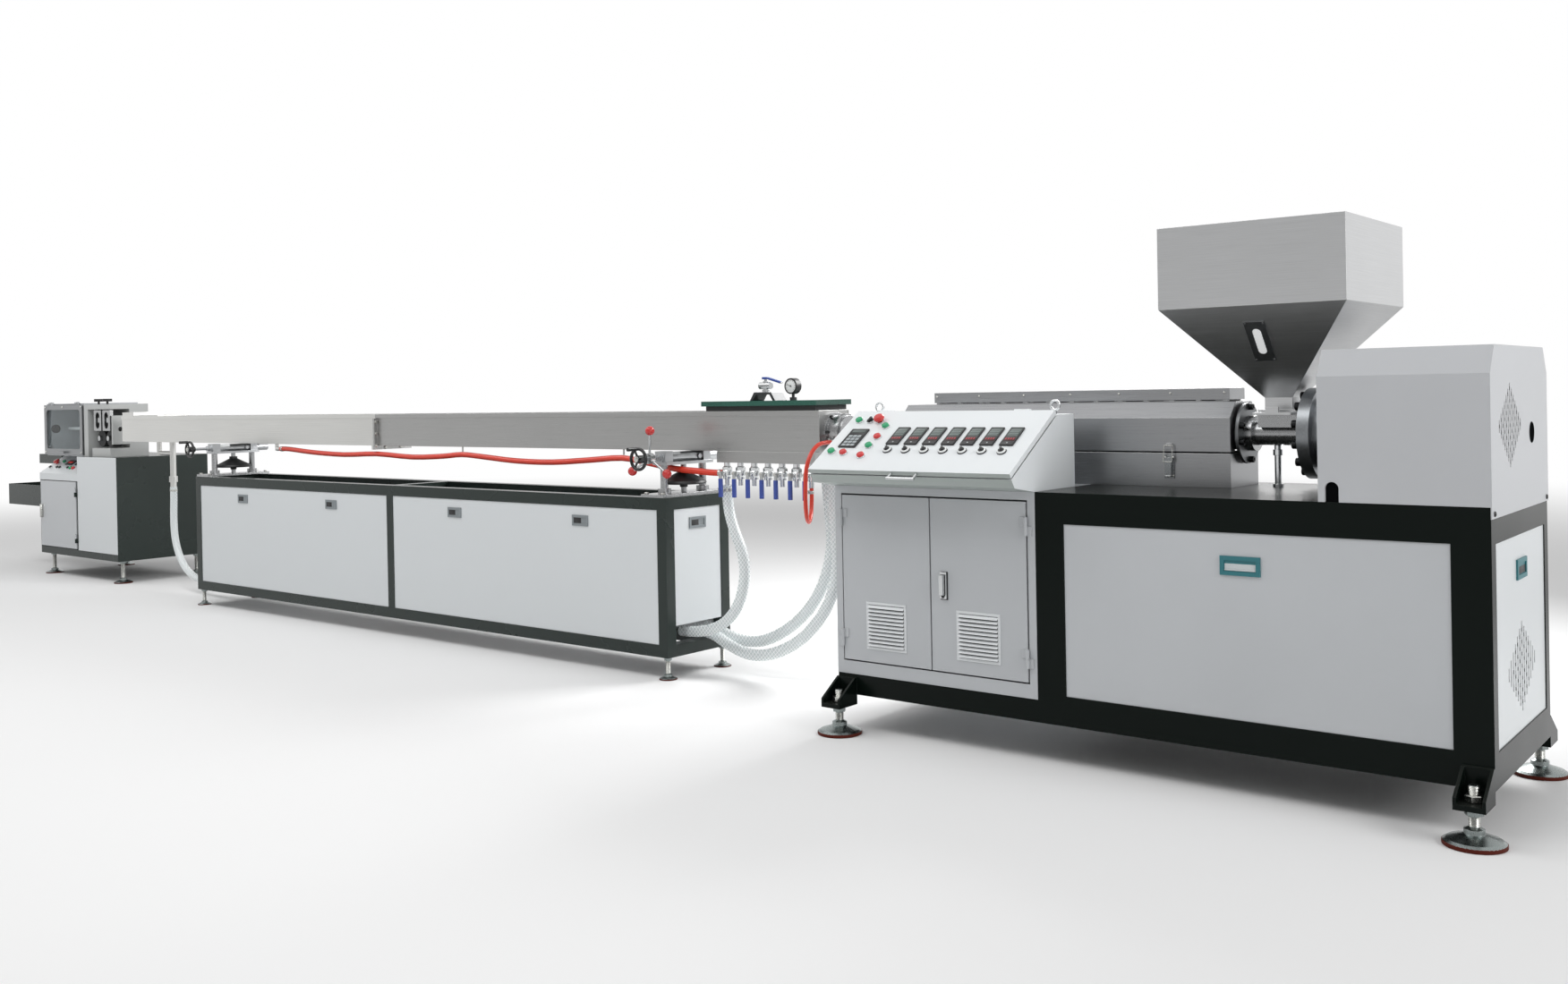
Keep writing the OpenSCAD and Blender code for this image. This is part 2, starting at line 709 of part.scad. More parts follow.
module flush_pulls() placed() color([0.10, 0.55, 0.58]) {
    pull_z = panel_z1 - pull_drop;
    stand_pull_z = stand_panel_z1 - 62;
    pull_step = 430;
    small = 0.86;
    translate([(panel_x0 + panel_x1)/2, panel_set, pull_z]) pull();
    translate([(panel_x0 + panel_x1)/2, base_depth - panel_set, pull_z]) rotate([0, 0, 180]) pull();
    translate([-panel_set, base_depth/2, pull_z]) rotate([0, 0, 90]) pull();
    for (side = [-1, 1], part = [-1, 1])
        translate([stand_mid + side*stand_length/4 + part*pull_step, 0, stand_pull_z]) {
            translate([0, stand_y0 + panel_set, 0]) scale(small) pull();
            translate([0, stand_y1 - panel_set, 0]) rotate([0, 0, 180]) scale(small) pull();
        }
    translate([stand_x1 - panel_set, stand_y, stand_pull_z]) rotate([0, 0, 90]) scale(small) pull();
    translate([stand_x0 + panel_set, stand_y, stand_pull_z]) rotate([0, 0, -90]) scale(small) pull();
}

module gearbox_cover() placed() color(light_grey) {
    y0 = -skirt_thick;
    y1 = base_depth + skirt_thick;
    arch_x = -cover_length + 18 + arch_width/2;
    arch_z = table_height + arch_height - arch_width/2;
    vent_depth = 12;
    knob_y = base_depth - 208;
    knob_z = table_height + 172;
    difference() {
        union() {
            along_x(-cover_length, skirt_thick, [[y0, table_height],
                [y0, cover_top - shoulder_height], [y0 + shoulder_depth, cover_top],
                [y1 - shoulder_depth, cover_top], [y1, cover_top - shoulder_height],
                [y1, table_height]]);
            box(0, skirt_thick, y0, y1, table_height - skirt_drop, table_height + e);
        }
        box(arch_x - arch_width/2, arch_x + arch_width/2, y0 - e, y0 + 60, table_height - e, arch_z);
        rod_y(arch_x, arch_z, arch_width, y0 - e, y0 + 60);
        vent_diamond(skirt_thick - vent_depth, skirt_thick + e, base_depth*0.31, knob_z + 27,
            258, 236, 20, 8);
        box(skirt_thick - vent_depth, skirt_thick + e, knob_y - 14, knob_y + 14, knob_z - 10, knob_z + 10);
        for (z = [knob_z - 10, knob_z + 10])
            rod_x(knob_y, z, 28, skirt_thick - vent_depth, skirt_thick + e);
    }
}

module bearing_flange() placed() color(dark_steel) {
    rod_x(axis_y, axis_height, flange_dia, flange_x0, neck_x0);
    rod_x(axis_y, axis_height, bearing_neck_dia, neck_x0 - e, -cover_length);
}

module feed_throat() placed() color(steel) {
    difference() {
        union() {
            rod_x(axis_y, axis_height, feed_dia, feed_x0 - e, flange_x0);
            rod_x(axis_y, axis_height, collar_dia, collar_x0, feed_x0);
            box(feed_mid - feed_block/2, feed_mid + feed_block/2, axis_y - feed_block/2,
                axis_y + feed_block/2, axis_height + feed_dia/4, feed_top);
        }
        rod_z(feed_mid, axis_y, outlet_side*0.7, axis_height, feed_top + e);
    }
}

module slide_gate() placed() color(stainless) {
    box(feed_mid - feed_block/2, feed_mid + feed_block/2, axis_y - feed_block/2 - 46,
        axis_y + feed_block/2, feed_top, outlet_z);
    box(feed_mid - 20, feed_mid + 20, axis_y - feed_block/2 - 46, axis_y - feed_block/2 - 40,
        outlet_z - e, outlet_z + 16);
}

// Square funnel outline, inset from the outer sheet
module funnel(inset, low, high) {
    half = hopper_side/2 - inset;
    small = outlet_side/2 - inset;
    points = [[-small, low], [small, low], [small, taper_z], [half, hopper_z], [half, high],
        [-half, high], [-half, hopper_z], [-small, taper_z]];
    translate([feed_mid, axis_y, 0]) intersection() {
        along_y(-half, half, points);
        along_x(-half, half, points);
    }
}

module hopper() placed() color(stainless) {
    difference() {
        union() {
            funnel(0, outlet_z, hopper_top);
            box(feed_mid - feed_block/2, feed_mid + feed_block/2, axis_y - feed_block/2,
                axis_y + feed_block/2, outlet_z, outlet_z + 8);
        }
        funnel(hopper_sheet, outlet_z - e, hopper_top + e);
    }
}

module hopper_window() placed() color(dark_steel) {
    window_thick = 4;
    slot = 26;
    slot_half = window_length/2 - 40;
    translate([feed_mid, axis_y - hopper_side/2, hopper_z]) rotate([hopper_angle, 0, 0])
        difference() {
            translate([-window_width/2, -window_thick, -window_drop - window_length])
                cube([window_width, window_thick - 0.1, window_length]);
            translate([0, -window_thick - e, -window_drop - window_length/2]) {
                translate([-slot/2, 0, -slot_half]) cube([slot, 3, 2*slot_half]);
                for (z = [-slot_half, slot_half])
                    translate([0, 0, z]) rotate([-90, 0, 0]) cylinder(d = slot, h = 3);
            }
        }
}

module barrel() placed() color(dark_steel) {
    rod_x(axis_y, axis_height, barrel_dia, barrel_x0, barrel_flange_x0 + e);
    rod_x(axis_y, axis_height, barrel_flange_dia, barrel_flange_x0, collar_x0);
    for (i = [0:band_count - 1])
        let (x = jacket_x0 + band_gap + i*(band_length + band_gap))
            rod_x(axis_y, axis_height, band_dia, x, x + band_length);
}

module die_head() placed() color(steel) {
    rod_x(axis_y, axis_height, die_dia, barrel_x0 - die_length*0.6, barrel_x0);
    translate([barrel_x0 - die_length*0.6, axis_y, axis_height]) rotate([0, -90, 0])
        cylinder(d1 = die_dia*0.8, d2 = die_dia*0.35, h = die_length*0.4);
}

module cooling_pipe() placed() color(chrome) {
    x = feed_mid - 20;
    feed_bottom = axis_height - feed_dia/2;
    difference() {
        union() {
            rod_z(x, axis_y, pipe_dia, table_height, feed_bottom + 2);
            rod_z(x, axis_y, pipe_dia + 12, table_height, table_height + 10);
            rod_z(x, axis_y, pipe_dia + 8, feed_bottom - 30, feed_bottom - 12);
        }
        rod_x(axis_y, axis_height, feed_dia + 0.6, feed_x0, flange_x0);
    }
}

module heater_cover_lower() placed() color(stainless) {
    t = jacket_sheet;
    difference() {
        box(jacket_x0, jacket_x1, jacket_y0, jacket_y1, table_height, split_z);
        box(jacket_x0 + t, jacket_x1 - t, jacket_y0 + t, jacket_y1 - t, table_height + t, split_z + e);
    }
    for (x = jacket_hinge_x)
        translate([x, jacket_pin_y, split_z]) {
            rotate([0, 90, 0]) pin_half();
            translate([0, jacket_y1 - jacket_pin_y - e/2, -16])
                cube([hinge_length/2 - 0.3, 4 + e/2, 16]);
        }
}

module heater_cover_upper() placed() color(stainless) {
    t = jacket_sheet;
    z0 = split_z + jacket_seam;
    difference() {
        along_x(jacket_x0, jacket_x1, [[jacket_y0, z0], [jacket_y0, jacket_shoulder],
            [jacket_y0 + jacket_slope, jacket_top], [jacket_y1 - jacket_slope, jacket_top],
            [jacket_y1, jacket_shoulder], [jacket_y1, z0]]);
        along_x(jacket_x0 + t, jacket_x1 - t, [[jacket_y0 + t, z0 - e],
            [jacket_y0 + t, jacket_shoulder - t/2], [jacket_y0 + jacket_slope + t/2, jacket_top - t],
            [jacket_y1 - jacket_slope - t/2, jacket_top - t], [jacket_y1 - t, jacket_shoulder - t/2],
            [jacket_y1 - t, z0 - e]]);
        box(jacket_x0 - e, jacket_x1 + e, axis_y - barrel_dia/2 - 26, axis_y + barrel_dia/2 + 8,
            z0 - e, axis_height);
        rod_x(axis_y - 9, axis_height, barrel_dia + 34, jacket_x0 - e, jacket_x1 + e);
    }
    for (x = jacket_hinge_x)
        translate([x, jacket_pin_y, split_z]) {
            rotate([0, 90, 0]) knuckle_half();
            translate([hinge_length/2, 0, 0]) difference() {
                union() {
                    translate([0, -knuckle_dia/2, 0]) cube([hinge_length/2 - 2, 4, 24]);
                    translate([0, jacket_y1 - jacket_pin_y - e, jacket_seam])
                        cube([hinge_length/2 - 2, 4, 24 - jacket_seam]);
                }
                translate([-e, 0, 0]) rotate([0, 90, 0])
                    cylinder(d = pin_dia + 2*pin_gap, h = hinge_length);
            }
        }
    box(latch_x - 10, latch_x + 10, jacket_y0 - 6, jacket_y0, z0 + 6, z0 + 26);
}

module ridge_vent_cap() placed() color(stainless) {
    x0 = jacket_x0 + cap_inset;
    x1 = jacket_x1 - cap_end;
    y0 = jacket_y0 + jacket_slope + 4;
    y1 = jacket_y1 - jacket_slope - 4;
    spacers = 7;
    spacer = 40;
    step = (x1 - x0 - spacer - 20)/(spacers - 1);
    box(x0, x1, y0, y1, jacket_top + cap_gap, jacket_top + cap_gap + cap_height);
    for (i = [0:spacers - 1])
        box(x0 + 10 + i*step, x0 + 10 + i*step + spacer, y0 + 12, y1 - 12, jacket_top,
            jacket_top + cap_gap + e);
}

module cover_latch() placed() color(chrome) {
    x = latch_x;
    box(x - 16, x + 16, jacket_y0 - 4, jacket_y0, split_z - 80, split_z - 6);
    along_y(jacket_y0 - 16, jacket_y0 - 3, [[x - 10, split_z - 74], [x + 10, split_z - 74],
        [x + 12, split_z - 14], [x - 12, split_z - 14]]);
}

module control_cabinet() placed() color(light_grey) {
    t = cabinet_sheet;
    difference() {
        box(-base_length, cabinet_x1 - 0.3, cabinet_front, base_depth, cabinet_z0, table_height);
        box(-base_length + t, cabinet_x1 - 0.3 - t, cabinet_front + t, base_depth - t,
            cabinet_z0 + t, table_height - t);
        box(door_x0, door_x1, cabinet_front - e, cabinet_front + t + e, door_z0, door_z1);
    }
    for (z = [door_z0 + 50, door_z1 - 50 - hinge_length]) {
        translate([door_x0 + door_gap/2, door_pin_y, z]) {
            pin_half();
            translate([-18, knuckle_dia/2 - 3, 0])
                cube([18, cabinet_front - door_pin_y - knuckle_dia/2 + 3, hinge_length/2 - 0.3]);
        }
        translate([door_x1 - door_gap/2, door_pin_y, z]) {
            pin_half();
            translate([0, knuckle_dia/2 - 3, 0])
                cube([18, cabinet_front - door_pin_y - knuckle_dia/2 + 3, hinge_length/2 - 0.3]);
        }
    }
}

// Folded door with louvres, hinged on the side given by dir
module cabinet_door(x0, x1, dir) {
    y0 = cabinet_front - 2;
    t = door_sheet;
    pin_x = dir > 0 ? door_x0 + door_gap/2 : door_x1 - door_gap/2;
    mid = (x0 + x1)/2;
    difference() {
        box(x0, x1, y0, y0 + door_depth, door_z0 + door_gap, door_z1 - door_gap);
        box(x0 + t, x1 - t, y0 + t, y0 + door_depth + e, door_z0 + door_gap + t, door_z1 - door_gap - t);
        for (i = [0:louvre_count - 1])
            box(mid - louvre_length/2, mid + louvre_length/2, y0 - e, y0 + t + e,
                louvre_z + i*louvre_pitch, louvre_z + i*louvre_pitch + 7);
    }
    for (z = [door_z0 + 50, door_z1 - 50 - hinge_length])
        translate([pin_x, door_pin_y, z]) {
            knuckle_half();
            translate([0, 0, hinge_length/2])
                leaf(dir > 0 ? 0 : -22, dir > 0 ? 22 : 0, knuckle_dia/2 - 3, y0 - door_pin_y, 0,
                    hinge_length/2 - 2);
        }
}

module cabinet_door_left() placed() color(light_grey)
    cabinet_door(door_x0 + door_gap, door_mid - door_gap/2, 1);

module cabinet_door_right() placed() color(light_grey)
    cabinet_door(door_mid + door_gap/2, door_x1 - door_gap, -1);

module door_lock() placed() color(chrome) {
    x = door_mid + 52;
    z = (door_z0 + door_z1)/2;
    box(x - 12, x + 12, cabinet_front - 10, cabinet_front - 2, z - 43, z + 43);
    box(x - 7, x + 7, cabinet_front - 24, cabinet_front - 9, z - 30, z + 34);
}

module console_housing() placed() color(near_white) {
    t = cabinet_sheet;
    c = lid_thick + lid_gap;
    s = sin(lid_angle);
    k = cos(lid_angle);
    f = [lid_y0 + c*s, lid_z0 - c*k];
    b = [lid_y1 + c*s, lid_z1 - c*k];
    x0 = -base_length;
    x1 = cabinet_x1 - 0.3;
    difference() {
        along_x(x0, x1, [[0, table_height], [lid_y0 + 30, table_height + 18], f, b,
            [lid_y1 + c*s + 5, console_z1], [console_back, console_z1], [console_back, table_height]]);
        along_x(x0 + t, x1 - t, [[t, table_height + t], [lid_y0 + 30 + t, table_height + 18 + t],
            f + [t*1.2, -t*0.2], f + [t*1.2, 60], b + [-t, 60], b + [-t, -t*1.6],
            [console_back - t, console_z1 - t], [console_back - t, table_height + t]]);
    }
    for (x = [x0 + 90, x1 - 90 - hinge_length])
        translate([x, lid_pin_y, lid_pin_z]) {
            rotate([0, 90, 0]) pin_half();
            translate([0, -2, console_z1 - lid_pin_z - 3])
                cube([hinge_length/2 - 0.3, 14, lid_pin_z - console_z1 + 2]);
        }
}

// Places children on the console lid, z pointing out
module on_lid() {
    translate([-base_length, lid_y0, lid_z0]) rotate([lid_angle, 0, 0]) children();
}

module console_lid() placed() color(near_white) {
    w = cabinet_length - 0.3;
    on_lid() {
        difference() {
            translate([0, 0, -lid_thick]) cube([w, lid_length, lid_thick]);
            translate([4, 4, -lid_thick - e]) cube([w - 8, lid_length - 8, lid_thick - 3]);
        }
        for (x = [90, w - 90 - hinge_length])
            translate([x, lid_pin, -lid_thick/2]) {
                rotate([0, 90, 0]) knuckle_half();
                translate([hinge_length/2, 0, 0]) difference() {
                    translate([0, -9, -2]) cube([hinge_length/2 - 2, 9, 6]);
                    translate([-e, 0, 0]) rotate([0, 90, 0])
                        cylinder(d = pin_dia + 2*pin_gap, h = hinge_length);
                }
            }
    }
}

module console_handle() placed() color(chrome) {
    mid = cabinet_length/2;
    on_lid() translate([mid, 0, -lid_thick/2]) {
        for (x = [-48, 48])
            translate([x, -handle_out, 0]) rotate([-90, 0, 0]) cylinder(d = handle_dia, h = handle_out);
        translate([-48 - handle_dia/2, -handle_out, 0]) rotate([0, 90, 0])
            cylinder(d = handle_dia, h = 96 + handle_dia);
    }
}

module console_instruments() placed() color(black) {
    first = cabinet_length - 81 - (controller_count - 1)*controller_pitch;
    buttons = [[45, 282], [91, 282], [133, 280], [175, 248], [177, 185], [172, 134], [172, 78], [39, 98],
        [92, 92]];
    on_lid() {
        for (i = [0:controller_count - 1]) {
            translate([first + i*controller_pitch - controller_width/2, lid_length*0.42, 0])
                cube([controller_width, controller_height, 6]);
            translate([first + i*controller_pitch, lid_length*0.33, 0]) cylinder(d = 28, h = 16);
        }
        translate([49, 125, 0]) cube([70, 105, 6]);
        for (b = buttons)
            translate([b.x, b.y, 0]) cylinder(d = 24, h = b == buttons[2] ? 26 : 14);
    }
}

module lifting_eyes() placed() color(chrome) {
    for (x = [-base_length + 40, cabinet_x1 - 40])
        translate([x, lid_y1 + 75, console_z1]) {
            cylinder(d = 12, h = 12);
            translate([0, 0, 28]) rotate([90, 0, 0]) rotate_extrude() translate([15, 0]) circle(d = 8);
        }
}

// Levelling foot: rubber-edged pad, swivel neck, screw with lock nuts
module foot(pad, screw, seat, top) {
    rotate_extrude() polygon([[0, 0], [pad/2, 0], [pad/2, pad*0.07], [pad/2 - pad*0.06, pad*0.11],
        [screw*0.95, pad*0.2], [screw*0.95, pad*0.28], [screw/2, pad*0.32], [screw/2, top], [0, top]]);
    translate([0, 0, seat - screw*0.7]) cylinder(d = screw*1.75, h = screw*0.7, $fn = 6);
}

module levelling_feet() placed() color(chrome) {
    for (x = [-bracket_inset, -base_length + bracket_inset],
        y = [-bracket_reach, base_depth + bracket_reach])
        translate([x, y, 0]) foot(pad_dia, foot_screw, bracket_height, bracket_height + 56);
    for (x = [stand_x0 + stand_tube/2, stand_x1 - stand_tube/2],
        y = [stand_y0 + stand_tube/2, stand_y1 - stand_tube/2])
        translate([x, y, 0]) foot(stand_pad, 18, stand_clear, stand_clear);
    for (x = [cutter_x0 + 60, cutter_x1 - 60], y = [cutter_y0 + 60, cutter_y1 - 60])
        translate([x, y, 0]) foot(cutter_pad, 24, cutter_clear, cutter_clear);
}

module stand_frame() placed() color(green_grey) {
    t = stand_tube;
    difference() {
        box(stand_x0, stand_x1, stand_y0, stand_y1, stand_clear, stand_height);
        box(stand_x0 + t, stand_x1 - t, stand_y0 + t, stand_y1 - t, stand_clear - e, stand_height + e);
        for (x = [[stand_x0 + t, stand_mid - t/2], [stand_mid + t/2, stand_x1 - t]])
            box(x[0], x[1], stand_y0 - e, stand_y1 + e, stand_panel_z0, stand_panel_z1);
        box(stand_x0 - e, stand_x1 + e, stand_y0 + t, stand_y1 - t, stand_panel_z0, stand_panel_z1);
    }
    for (x = [support_x[0], stand_mid, support_x[1]])
        box(x - t/2, x + t/2, stand_y0 + t - e, stand_y1 - t + e, stand_height - t, stand_height);
}

module support_posts() placed() color(steel) {
    for (x = support_x) {
        box(x - 62, x + 62, stand_y0, stand_y1, stand_height, stand_height + base_plate);
        for (y = [stand_y - post_spacing/2, stand_y + post_spacing/2]) {
            rod_z(x, y, post_dia, stand_height + base_plate - e, head_z);
            rod_z(x, y, post_dia + 22, stand_height + base_plate - e, stand_height + base_plate + 20);
        }
        rod_z(x, stand_y, screw_dia, stand_height + base_plate - e, head_z);
    }
}

// Cone-shaped lifting wheel on its screw
module lift_wheels() placed() color(black) {
    r = lift_dia/2;
    for (x = support_x)
        translate([x, stand_y, stand_height + base_plate]) difference() {
            rotate_extrude() polygon([[0, 20], [16, 20], [18, 34], [r - 4, 34], [r, 40], [r - 4, 48],
                [30, 80], [22, 84], [22, 96], [0, 96]]);
            cylinder(d = screw_dia + 0.1, h = 100);
        }
}

module support_heads() placed() color(steel) {
    for (x = support_x) {
        box(x - 40, x + 40, stand_y - post_spacing/2 - 26, stand_y + post_spacing/2 + 26, head_z,
            head_z + 12);
        for (y = [stand_y - post_spacing/2, stand_y + post_spacing/2])
            box(x - 30, x + 30, y - 22, y + 22, head_z + 11, tube_z + tube_dia/2 + 4);
        rod_x(axis_y, tube_z, 20, x - 30, x + 30);
        rod_y(x, tube_z, tube_dia, tube_y0, stand_y1 + 20);
        rod_y(x, tube_z, spindle_dia, wheel_y - 14, tube_y0 + e);
        rod_y(x, tube_z, spindle_dia + 14, tube_y0 - 20, tube_y0 + e);
        rod_y(x, tube_z, spindle_dia + 8, wheel_y - 14, wheel_y - 9);
    }
}

// Spoked handwheel along Y with its crank handle
module handwheel(x) {
    r = wheel_dia/2 - wheel_rim/2;
    translate([x, wheel_y, tube_z]) {
        difference() {
            union() {
                rotate([-90, 0, 0]) rotate_extrude() translate([r, 0]) circle(d = wheel_rim);
                translate([0, -8.5, 0]) rotate([-90, 0, 0]) cylinder(d = 32, h = 36);
                for (a = [90, 210, 330])
                    rotate([0, a, 0]) cylinder(d = 9, h = r);
            }
            translate([0, -20, 0]) rotate([-90, 0, 0]) cylinder(d = spindle_dia + 2*pin_gap, h = 60);
        }
        translate([0, -60, r]) rotate([-90, 0, 0]) cylinder(d = 15, h = 48);
        translate([0, -20, r]) rotate([-90, 0, 0]) cylinder(d = 8, h = 20);
    }
}

module handwheel_left() placed() color(black) handwheel(support_x[0]);

module handwheel_right() placed() color(black) handwheel(support_x[1]);

// Clamp collar on the spindle with three ball-ended arms
module clamp_lever() placed() color(red) {
    collar = 44;
    collar_width = 24;
    ball = 38;
    translate([support_x[1], clamp_y, tube_z]) {
        difference() {
            rotate([-90, 0, 0]) cylinder(d = collar, h = collar_width);
            translate([0, -e, 0]) rotate([-90, 0, 0])
                cylinder(d = spindle_dia + 0.6, h = collar_width + 2*e);
        }
        for (a = [2, 122, 242])
            translate([0, collar_width/2, 0]) rotate([0, a, 0]) {
                translate([0, 0, collar/2 - 4]) cylinder(d = 10, h = clamp_arm - collar/2 + 4);
                translate([0, 0, clamp_arm + ball/2 - 6]) sphere(d = ball);
            }
    }
}

// Open channel with folded rims
module channel(x0, x1, y0, y1) {
    t = trough_sheet;
    difference() {
        union() {
            box(x0, x1, y0, y1, trough_z0, trough_z1);
            box(x0, x1, y0 - rim_out, y1 + rim_out, trough_z1 - rim_height, trough_z1);
        }
        box(x0 + t, x1 - t, y0 + t, y1 - t, trough_z0 + t, trough_z1 + e);
        box(x0 - e, x1 + e, y0 - rim_out - e, y0 - 0.01, trough_z1 - rim_height - e, trough_z1 - t);
        box(x0 - e, x1 + e, y1 + 0.01, y1 + rim_out + e, trough_z1 - rim_height - e, trough_z1 - t);
    }
    for (y = [y0 - rim_out, y1 + rim_out - 3])
        box(x0, x1, y, y + 3, trough_z1 - rim_height, trough_z1 - t + e);
}

// Flange at the end of a channel
module joint_flange(x0) {
    box(x0, x0 + joint_thick, trough_y0 - joint_out, trough_y1 + joint_out, trough_z0 - joint_out,
        trough_z1 - rim_height);
}
module water_way(x0, x1) {
    box(x0, x1, trough_y0 + trough_sheet, trough_y1 - trough_sheet, trough_z0 + trough_sheet,
        trough_z1 + e);
}

module trough_right() placed() color(stainless) {
    difference() {
        union() {
            channel(joint_x, trough_x1, trough_y0, trough_y1);
            joint_flange(joint_x);
        }
        water_way(joint_x - e, joint_x + joint_thick + e);
        rod_x(axis_y, axis_height, sizing_bore + 6, trough_x1 - trough_sheet - e, trough_x1 + e);
    }
    for (route = [outer_route, inner_route])
        rod_z(route[0].x, route[0].y, return_pipe, route[0].z, trough_z0 + e);
    for (i = [7, 12])
        rod_z(red_route[i].x, trough_y0 + 8, 8, red_route[i].z + red_dia/2, trough_z0 + e);
}

module trough_left() placed() color(stainless) {
    x1 = joint_x - 0.3;
    notch = 60;
    drain = drain_route[0];
    overflow_x = drain.x - 172;
    overflow_z = trough_z0 - 73;
    cover_x = [[trough_x0 + 20, trough_x0 + 170, 26], [trough_x0 + 190, trough_x0 + 480, 8]];
    difference() {
        union() {
            channel(trough_x0, x1, trough_y0, trough_y1);
            joint_flange(x1 - joint_thick);
        }
        water_way(x1 - joint_thick - e, x1 + e);
        box(trough_x0 - e, trough_x0 + trough_sheet + e, axis_y - notch/2, axis_y + notch/2,
            axis_height - 20, trough_z1 + e);
    }
    for (c = cover_x)
        box(c[0], c[1], trough_y0 - rim_out, trough_y1 + rim_out, trough_z1 - e, trough_z1 + c[2]);
    rod_z(drain.x, drain.y, drain_pipe, drain.z, trough_z0 + e);
    rod_z(drain.x, drain.y, drain_pipe + 14, drain.z + 30, drain.z + 66);
    rod_z(overflow_x, drain.y, 30, overflow_z - 15, trough_z0 + e);
    rod_x(drain.y, overflow_z, 26, overflow_x, drain.x);
    rod_z(red_route[0].x - 40, red_route[0].y, 20, red_route[0].z - 10, trough_z0 + e);
    rod_x(red_route[0].y, red_route[0].z, red_dia - 4, red_route[0].x - 40, red_route[0].x);
}

module trough_end_plate() placed() color(steel) {
    nipple = link_route[len(link_route) - 1];
    difference() {
        union() {
            rod_x(axis_y, axis_height, 150, trough_x1, trough_x1 + 14);
            rod_x(axis_y, axis_height, 124, trough_x1 + 13, trough_x1 + 80);
            rod_x(axis_y, axis_height, 140, trough_x1 + 56, trough_x1 + 68);
            rod_y(nipple.x, nipple.z, link_dia - 2, nipple.y, axis_y);
        }
        rod_x(axis_y, axis_height, sizing_bore, trough_x1 - e, trough_x1 + 80 + e);
    }
}

module lid_gasket() placed() color(black) {
    difference() {
        box(vac_x0, vac_x1, trough_y0 - rim_out, trough_y1 + rim_out, gasket_z, glass_z);
        box(vac_x0 + 30, vac_x1 - 30, trough_y0 + 24, trough_y1 - 24, gasket_z - e, glass_z + e);
    }
}

module lid_glass() placed() color([0.45, 0.75, 0.62, 0.6]) {
    box(vac_x0 - glass_over, vac_x1 + glass_over, trough_y0 - rim_out - glass_over,
        trough_y1 + rim_out + glass_over, glass_z, glass_z + glass_thick);
}

// Vacuum valve on an arch, gauge beside it
module vacuum_fittings() placed() color(steel) {
    z = glass_z + glass_thick;
    x = vac_x0 + vac_length*0.44;
    gauge_x = x + 130;
    gauge_z = z + 56;
    along_y(axis_y - 36, axis_y + 36, [[x - 66, z], [x - 44, z + 34], [x + 44, z + 34], [x + 66, z],
        [x + 52, z], [x + 36, z + 24], [x - 36, z + 24], [x - 52, z]]);
    rod_z(x - 12, axis_y, 30, z + 33, z + 44);
    rod_z(x - 12, axis_y, 22, z + 43, z + 78);
    rod_x(axis_y, z + 60, 28, x - 40, x + 16);
    rod_z(x - 12, axis_y, 12, z + 77, z + 88);
    along_y(axis_y - 7, axis_y + 7, [[x - 24, z + 86], [x, z + 86], [x + 70, z + 68], [x + 72, z + 74],
        [x, z + 94], [x - 24, z + 94]]);
    rod_z(gauge_x, axis_y, 28, z, z + 12);
    rod_z(gauge_x, axis_y, 12, z + 10, gauge_z - 20);
    rod_y(gauge_x, gauge_z, 62, axis_y - 14, axis_y + 14);
}

module water_manifold() placed() color(stainless) {
    box(manifold_x0, manifold_x1, manifold_y0, manifold_y0 + manifold_depth, manifold_z0, trough_z0);
}

// Ball valve under the manifold, with its tail
module ball_valve() {
    rotate([180, 0, 0]) rotate_extrude() polygon([[0, 0], [13, 0], [13, 14], [17, 18], [17, 30],
        [21, 36], [21, 52], [17, 58], [17, 66], [10, 68], [10, 92], [0, 92]]);
    translate([0, -34, -44]) rotate([-90, 0, 0]) cylinder(d = 13, h = 20);
}

module ball_valves() placed() color(steel) {
    for (i = [0:valve_count - 1])
        translate([manifold_x0 + (i + 0.5)*valve_pitch, valve_y, manifold_z0]) ball_valve();
}

module valve_levers() placed() color([0.08, 0.18, 0.62]) {
    for (i = [0:valve_count - 1])
        translate([manifold_x0 + (i + 0.5)*valve_pitch, valve_y - 34, manifold_z0 - 44]) {
            translate([-10, -4, -10]) cube([20, 4, 20]);
            translate([-6, -12, -24]) cube([12, 9, 30]);
            translate([-7, -14, -94]) cube([14, 12, 74]);
        }
}

// Side outline of the cutter cabinet
function cutter_outline(t, floor, sloped) = concat([[cutter_y0 + t, floor]],
    sloped ? [[cutter_y0 + t, desk_z0 - t*tan((90 - desk_angle)/2)],
        [desk_y1 + t*tan(desk_angle/2), cutter_height - t]] : [[cutter_y0 + t, cutter_height - t]],
    [[cutter_y1 - t, cutter_height - t], [cutter_y1 - t, floor]]);

module cutter_cabinet() placed() color(green_grey) {
    t = cutter_sheet;
    floor_z = cutter_clear + cutter_rail;
    difference() {
        union() {
            along_x(cutter_x0, desk_x1 + e, cutter_outline(0, cutter_clear, true));
            along_x(desk_x1, cutter_x1, cutter_outline(0, cutter_clear, false));
        }
        along_x(cutter_x0 + t, desk_x1 + t + e, cutter_outline(t, floor_z, true));
        along_x(desk_x1 + t, cutter_x1 - t, cutter_outline(t, floor_z, false));
        box(cutter_door_x0 - door_gap, cutter_door_x1 + door_gap, cutter_y0 - e, cutter_y0 + t + e,
            cutter_door_z0 - door_gap, cutter_door_z1 + door_gap);
    }
    for (z = [cutter_door_z0 + 40, cutter_door_z1 - 40 - hinge_length])
        translate([cutter_door_x1 + door_gap/2, cutter_pin_y, z]) {
            pin_half();
            translate([0, knuckle_dia/2 - 3, 0])
                cube([16, cutter_y0 - cutter_pin_y - knuckle_dia/2 + 3, hinge_length/2 - 0.3]);
        }
}

